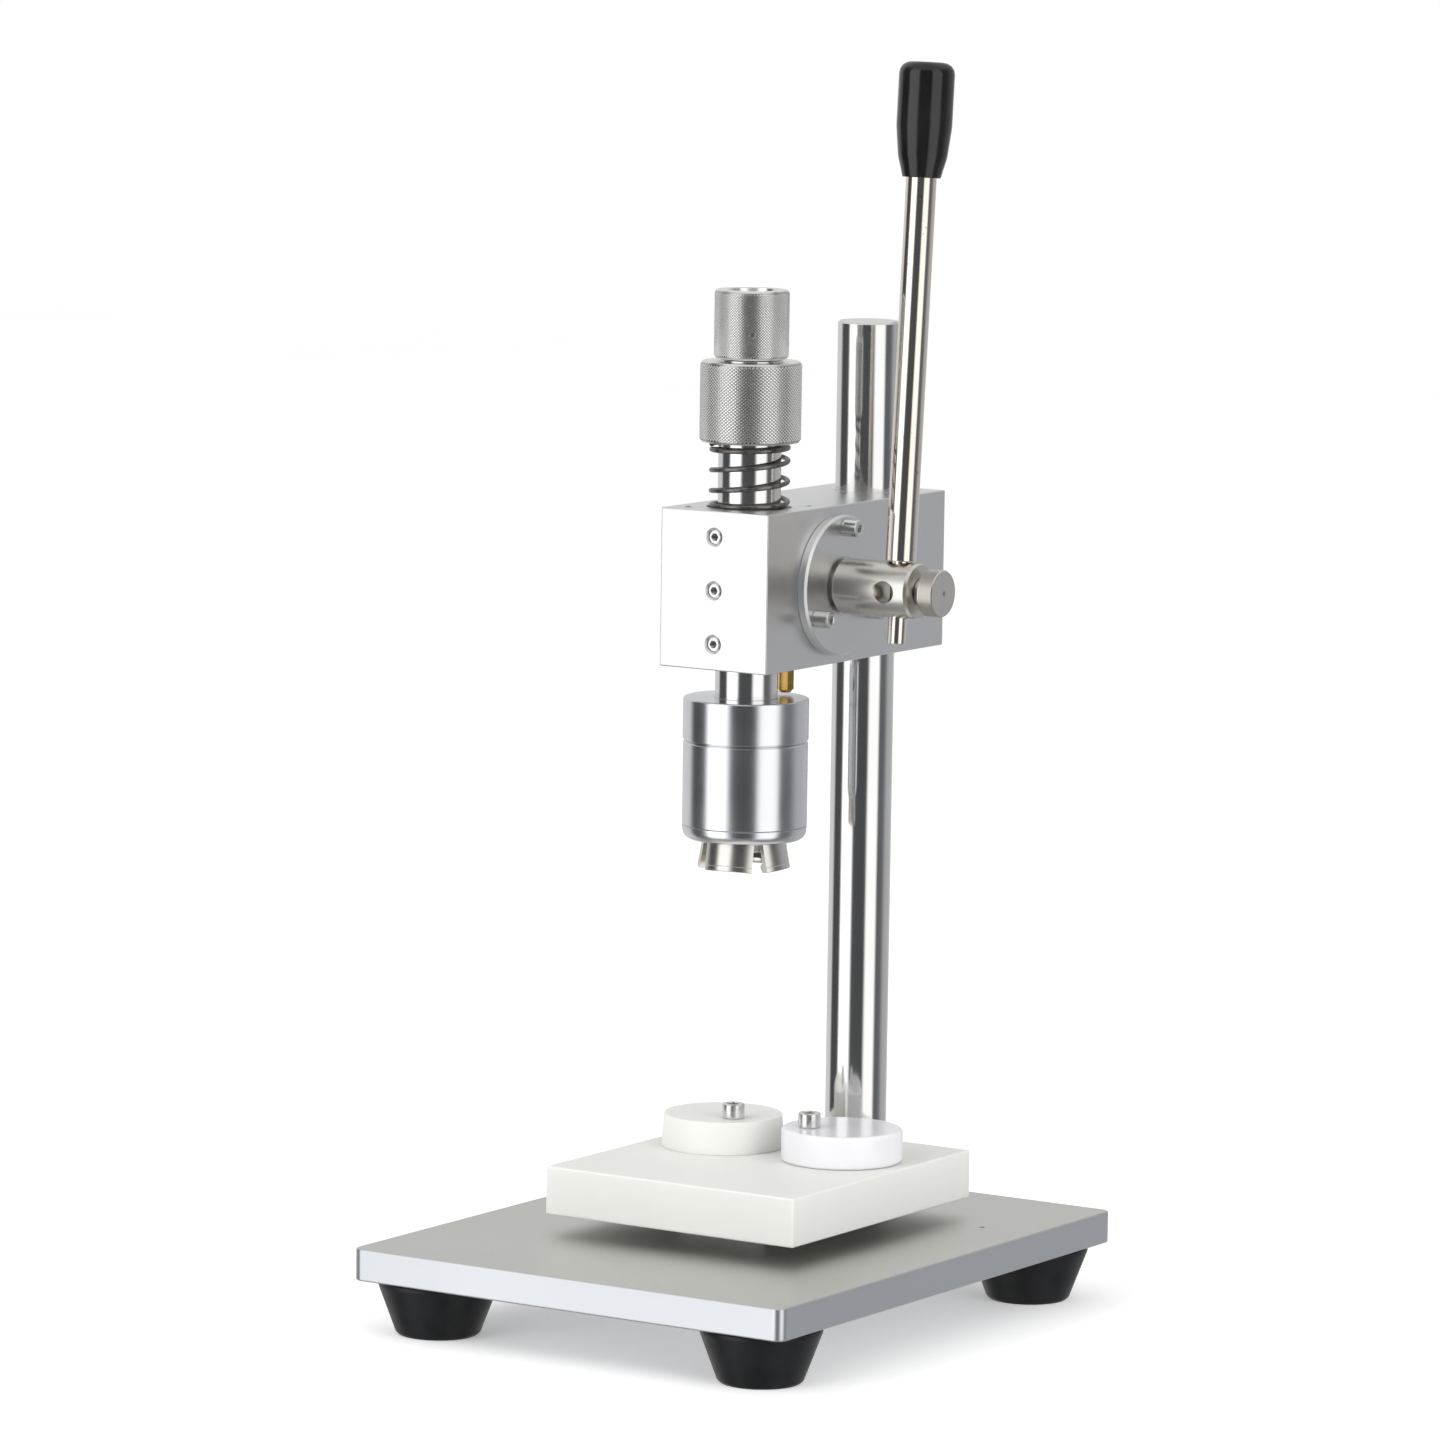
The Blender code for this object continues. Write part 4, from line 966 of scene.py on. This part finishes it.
def head_bell():
    wide, low, top = BELL.radius, BELL.low.z, BELL.high.z
    profile = [
        (18.5, low),
        (wide, low, 0.3),
        (wide, top - 0.7, 0.1),
        (wide - 0.7, top),
        (19.0, top),
        (19.0, 208.9),
        (16.4, 208.9, 0.2),
        (16.4, 204.5, 0.2),
        (18.5, 204.5),
    ]
    dress(lathe("head_bell_turned", profile), "ram", "head_bell")


def closing_ring():
    wide, low, top = RING.radius, RING.low.z, BELL.low.z - 0.1
    profile = [
        (17.2, low, 0.8),
        (wide - 0.3, low, 3.9),
        (wide, top, 0.25),
        (18.4, top),
        (18.4, RING.high.z),
        (17.2, RING.high.z, 0.3),
    ]
    dress(lathe("closing_ring_turned", profile), "ram", "closing_ring")


def jaw_band():
    steps, wire = 16, 0.85
    turns = [2 * pi * k / steps for k in range(steps)]
    profile = [(14.35 + wire * cos(a), 206.3 + wire * sin(a)) for a in turns]
    dress(lathe("jaw_band_moulded", profile), "carrier", "jaw_band", sharp=60)


def jaws():
    body = [
        (15.0, 181.0, 0.3),
        (15.0, 182.9, 0.1),
        (14.9, 183.05, 0.05),
        (15.0, 183.2, 0.1),
        (15.0, 199.2, 0.3),
        (12.2, 199.2),
        (11.6, 198.0),
        (11.6, 185.0, 0.4),
        (8.9, 183.8, 0.4),
        (8.9, 182.3, 0.4),
        (10.4, 181.0, 0.3),
    ]
    tongue = [
        (14.8, 197.0),
        (14.8, 205.0, 0.2),
        (13.4, 205.0),
        (13.4, 207.4),
        (14.8, 207.4, 0.2),
        (14.8, 208.6, 0.3),
        (10.2, 208.6, 0.3),
        (10.2, 204.5),
        (13.0, 204.5),
        (13.0, 197.0),
    ]
    pivot = Matrix.Translation((13.0, 0, 201.6))
    splay = pivot @ Matrix.Rotation(-JAW_SPLAY, 4, "Y") @ pivot.inverted()
    for n in range(4):
        at = Matrix.Rotation(JAW_PHASE + pi / 2 * n, 4, "Z") @ splay
        jaw = sector(f"jaw_cut_{n + 1}", body, JAW_HALF, at, 36)
        combine(jaw, sector("tongue", tongue, TONGUE_HALF, at, 20), "UNION")
        dress(jaw, f"jaw_{n + 1}", f"jaw_{n + 1}")


# ---------------------------------------------------------------- carried CAD nodes


def finish_kept_nodes():
    """Gives each CAD node that still shows its slot's finish."""
    for name, slot in SLOT_OF.items():
        obj = bpy.data.objects.get(name)
        if obj is None or obj.hide_render:
            continue
        obj.data.materials.clear()
        obj.data.materials.append(FINISHES[slot])


# ---------------------------------------------------------------- studio

CAMERA_YAW, CAMERA_PITCH, CAMERA_ROLL = radians(32.826), radians(7.308), radians(0.844)
CAMERA_SPOT, CAMERA_LENS = (1.6515, -2.5790, 0.6325), 194.8
FLOOR_SIZE = 4000  # millimetres


def make_camera():
    right = Vector((cos(CAMERA_YAW), sin(CAMERA_YAW), 0))
    ahead = Vector((-sin(CAMERA_YAW) * cos(CAMERA_PITCH), cos(CAMERA_YAW) * cos(CAMERA_PITCH), 0))
    ahead.z = -sin(CAMERA_PITCH)
    up = right.cross(ahead)
    rolled = cos(CAMERA_ROLL) * right + sin(CAMERA_ROLL) * up
    upright = cos(CAMERA_ROLL) * up - sin(CAMERA_ROLL) * right
    camera = bpy.data.objects.new("camera", bpy.data.cameras.new("camera"))
    camera.data.lens = CAMERA_LENS
    camera.data.sensor_width = 36
    turn = Matrix((rolled, upright, -ahead)).transposed().to_4x4()
    camera.matrix_world = Matrix.Translation(CAMERA_SPOT) @ turn
    bpy.context.scene.collection.objects.link(camera)
    bpy.context.scene.camera = camera


def make_floor():
    bm = bmesh.new()
    bmesh.ops.create_grid(bm, x_segments=8, y_segments=8, size=FLOOR_SIZE)
    floor = made_object("floor", bm)
    paper = Finish("floor_paper", 0.0, Emission_Color=(1, 1, 1, 1), Emission_Strength=0.3)
    paper.color(paper.mix(paper.noise(3), (0.90, 0.90, 0.90), (0.92, 0.92, 0.92)))
    paper.roughness(paper.noise(40), 0.8, 0.9)
    floor.data.materials.append(paper.material)
    floor.visible_glossy = False


SOFT_BOXES = (  # degrees round from the camera's own bearing, and how bright it is there
    (-180, 0.72),
    (-122, 0.72),
    (-112, 0.08),
    (-80, 0.08),
    (-72, 1.60),
    (-36, 1.60),
    (-27, 0.09),
    (18, 0.08),
    (27, 1.30),
    (60, 1.30),
    (69, 0.13),
    (90, 0.16),
    (110, 0.46),
    (140, 0.50),
    (180, 0.72),
)
FLAG_TINT = (0.97, 0.99, 1.04)  # what shows between the soft boxes is slightly cool
FLOOR_SHOWN = 0.30  # how bright metal shows what lies below it
CEILING_SHOWN = 0.82  # and what hangs above it


def make_world():
    """A studio of tall soft boxes and black flags, with a white background."""
    world = bpy.data.worlds.new("studio")
    world.use_nodes = True
    bpy.context.scene.world = world
    tree = world.node_tree
    shade = tree.nodes["Background"]

    def add(kind, **values):
        node = tree.nodes.new(kind)
        for name, value in values.items():
            setattr(node, name, value)
        return node

    def along(vector):
        node = add("ShaderNodeVectorMath", operation="DOT_PRODUCT")
        tree.links.new(where, node.inputs[0])
        node.inputs[1].default_value = vector
        return node.outputs["Value"]

    where = add("ShaderNodeTexCoord").outputs["Generated"]
    bearing = add("ShaderNodeMath", operation="ARCTAN2")
    tree.links.new(along((cos(CAMERA_YAW), sin(CAMERA_YAW), 0)), bearing.inputs[0])
    tree.links.new(along((sin(CAMERA_YAW), -cos(CAMERA_YAW), 0)), bearing.inputs[1])
    spread = add("ShaderNodeMapRange")
    spread.inputs["From Min"].default_value = -pi
    spread.inputs["From Max"].default_value = pi
    tree.links.new(bearing.outputs[0], spread.inputs["Value"])
    ramp = add("ShaderNodeValToRGB")
    stops = ramp.color_ramp.elements
    for degrees, level in SOFT_BOXES[1:-1]:
        stops.new((degrees + 180) / 360)
    for stop, (degrees, level) in zip(stops, SOFT_BOXES):
        stop.position = (degrees + 180) / 360
        tint = FLAG_TINT if level < 0.5 else (1, 1, 1)
        stop.color = (*(level * share for share in tint), 1)
    tree.links.new(spread.outputs["Result"], ramp.inputs["Fac"])
    ceiling = add("ShaderNodeMapRange")
    ceiling.inputs["From Min"].default_value = 0.45
    ceiling.inputs["From Max"].default_value = 0.75
    tree.links.new(along((0, 0, 1)), ceiling.inputs["Value"])
    overhead = add("ShaderNodeMix", data_type="RGBA")
    tree.links.new(ceiling.outputs["Result"], overhead.inputs[0])
    tree.links.new(ramp.outputs["Color"], overhead.inputs[6])
    overhead.inputs[7].default_value = (CEILING_SHOWN, CEILING_SHOWN, CEILING_SHOWN, 1)
    depth = add("ShaderNodeMapRange")
    depth.inputs["From Min"].default_value = 0.45
    depth.inputs["From Max"].default_value = 0.75
    tree.links.new(along((0, 0, -1)), depth.inputs["Value"])
    below = add("ShaderNodeMix", data_type="RGBA")
    tree.links.new(depth.outputs["Result"], below.inputs[0])
    tree.links.new(overhead.outputs[2], below.inputs[6])
    below.inputs[7].default_value = (FLOOR_SHOWN, FLOOR_SHOWN, FLOOR_SHOWN, 1)
    seen = add("ShaderNodeMix", data_type="RGBA")
    tree.links.new(add("ShaderNodeLightPath").outputs["Is Camera Ray"], seen.inputs[0])
    tree.links.new(below.outputs[2], seen.inputs[6])
    seen.inputs[7].default_value = (1.0, 1.0, 1.0, 1)
    tree.links.new(seen.outputs[2], shade.inputs["Color"])


def make_lamp(name, spot, size, watts):
    """A soft area lamp that faces the machine."""
    lamp = bpy.data.lights.new(name, "AREA")
    lamp.energy = watts
    lamp.size = size
    obj = bpy.data.objects.new(name, lamp)
    obj.visible_glossy = False
    obj.visible_camera = False
    away = Vector(spot) - Vector((0, 0, 0.2))
    obj.matrix_world = Matrix.Translation(spot) @ away.to_track_quat("Z", "Y").to_matrix().to_4x4()
    bpy.context.scene.collection.objects.link(obj)


# ---------------------------------------------------------------- assembly

make_camera()
make_floor()
make_world()
make_lamp("key_lamp", (-1.2, -1.6, 2.0), 1.2, 14)
make_lamp("fill_lamp", (1.8, -0.4, 1.6), 1.4, 7)
make_lamp("front_lamp", (-0.7, -2.3, 0.55), 1.4, 16)
make_lamp("side_lamp", (2.2, -0.5, 0.55), 1.4, 15)
bpy.context.scene.view_settings.view_transform = "Standard"

for build in (base_plate, feet, platform, post, change_parts):
    build()
for build in (head_block, head_screws, up_stop, bearing_flange, flange_screws):
    build()
for build in (lever_hub, lever_rod, lever_grip, thumb_screw):
    build()
for build in (spindle, springs, height_collar, depth_knob, plunger):
    build()
for build in (head_collar, head_bell, closing_ring, jaw_band, jaws):
    build()
finish_kept_nodes()
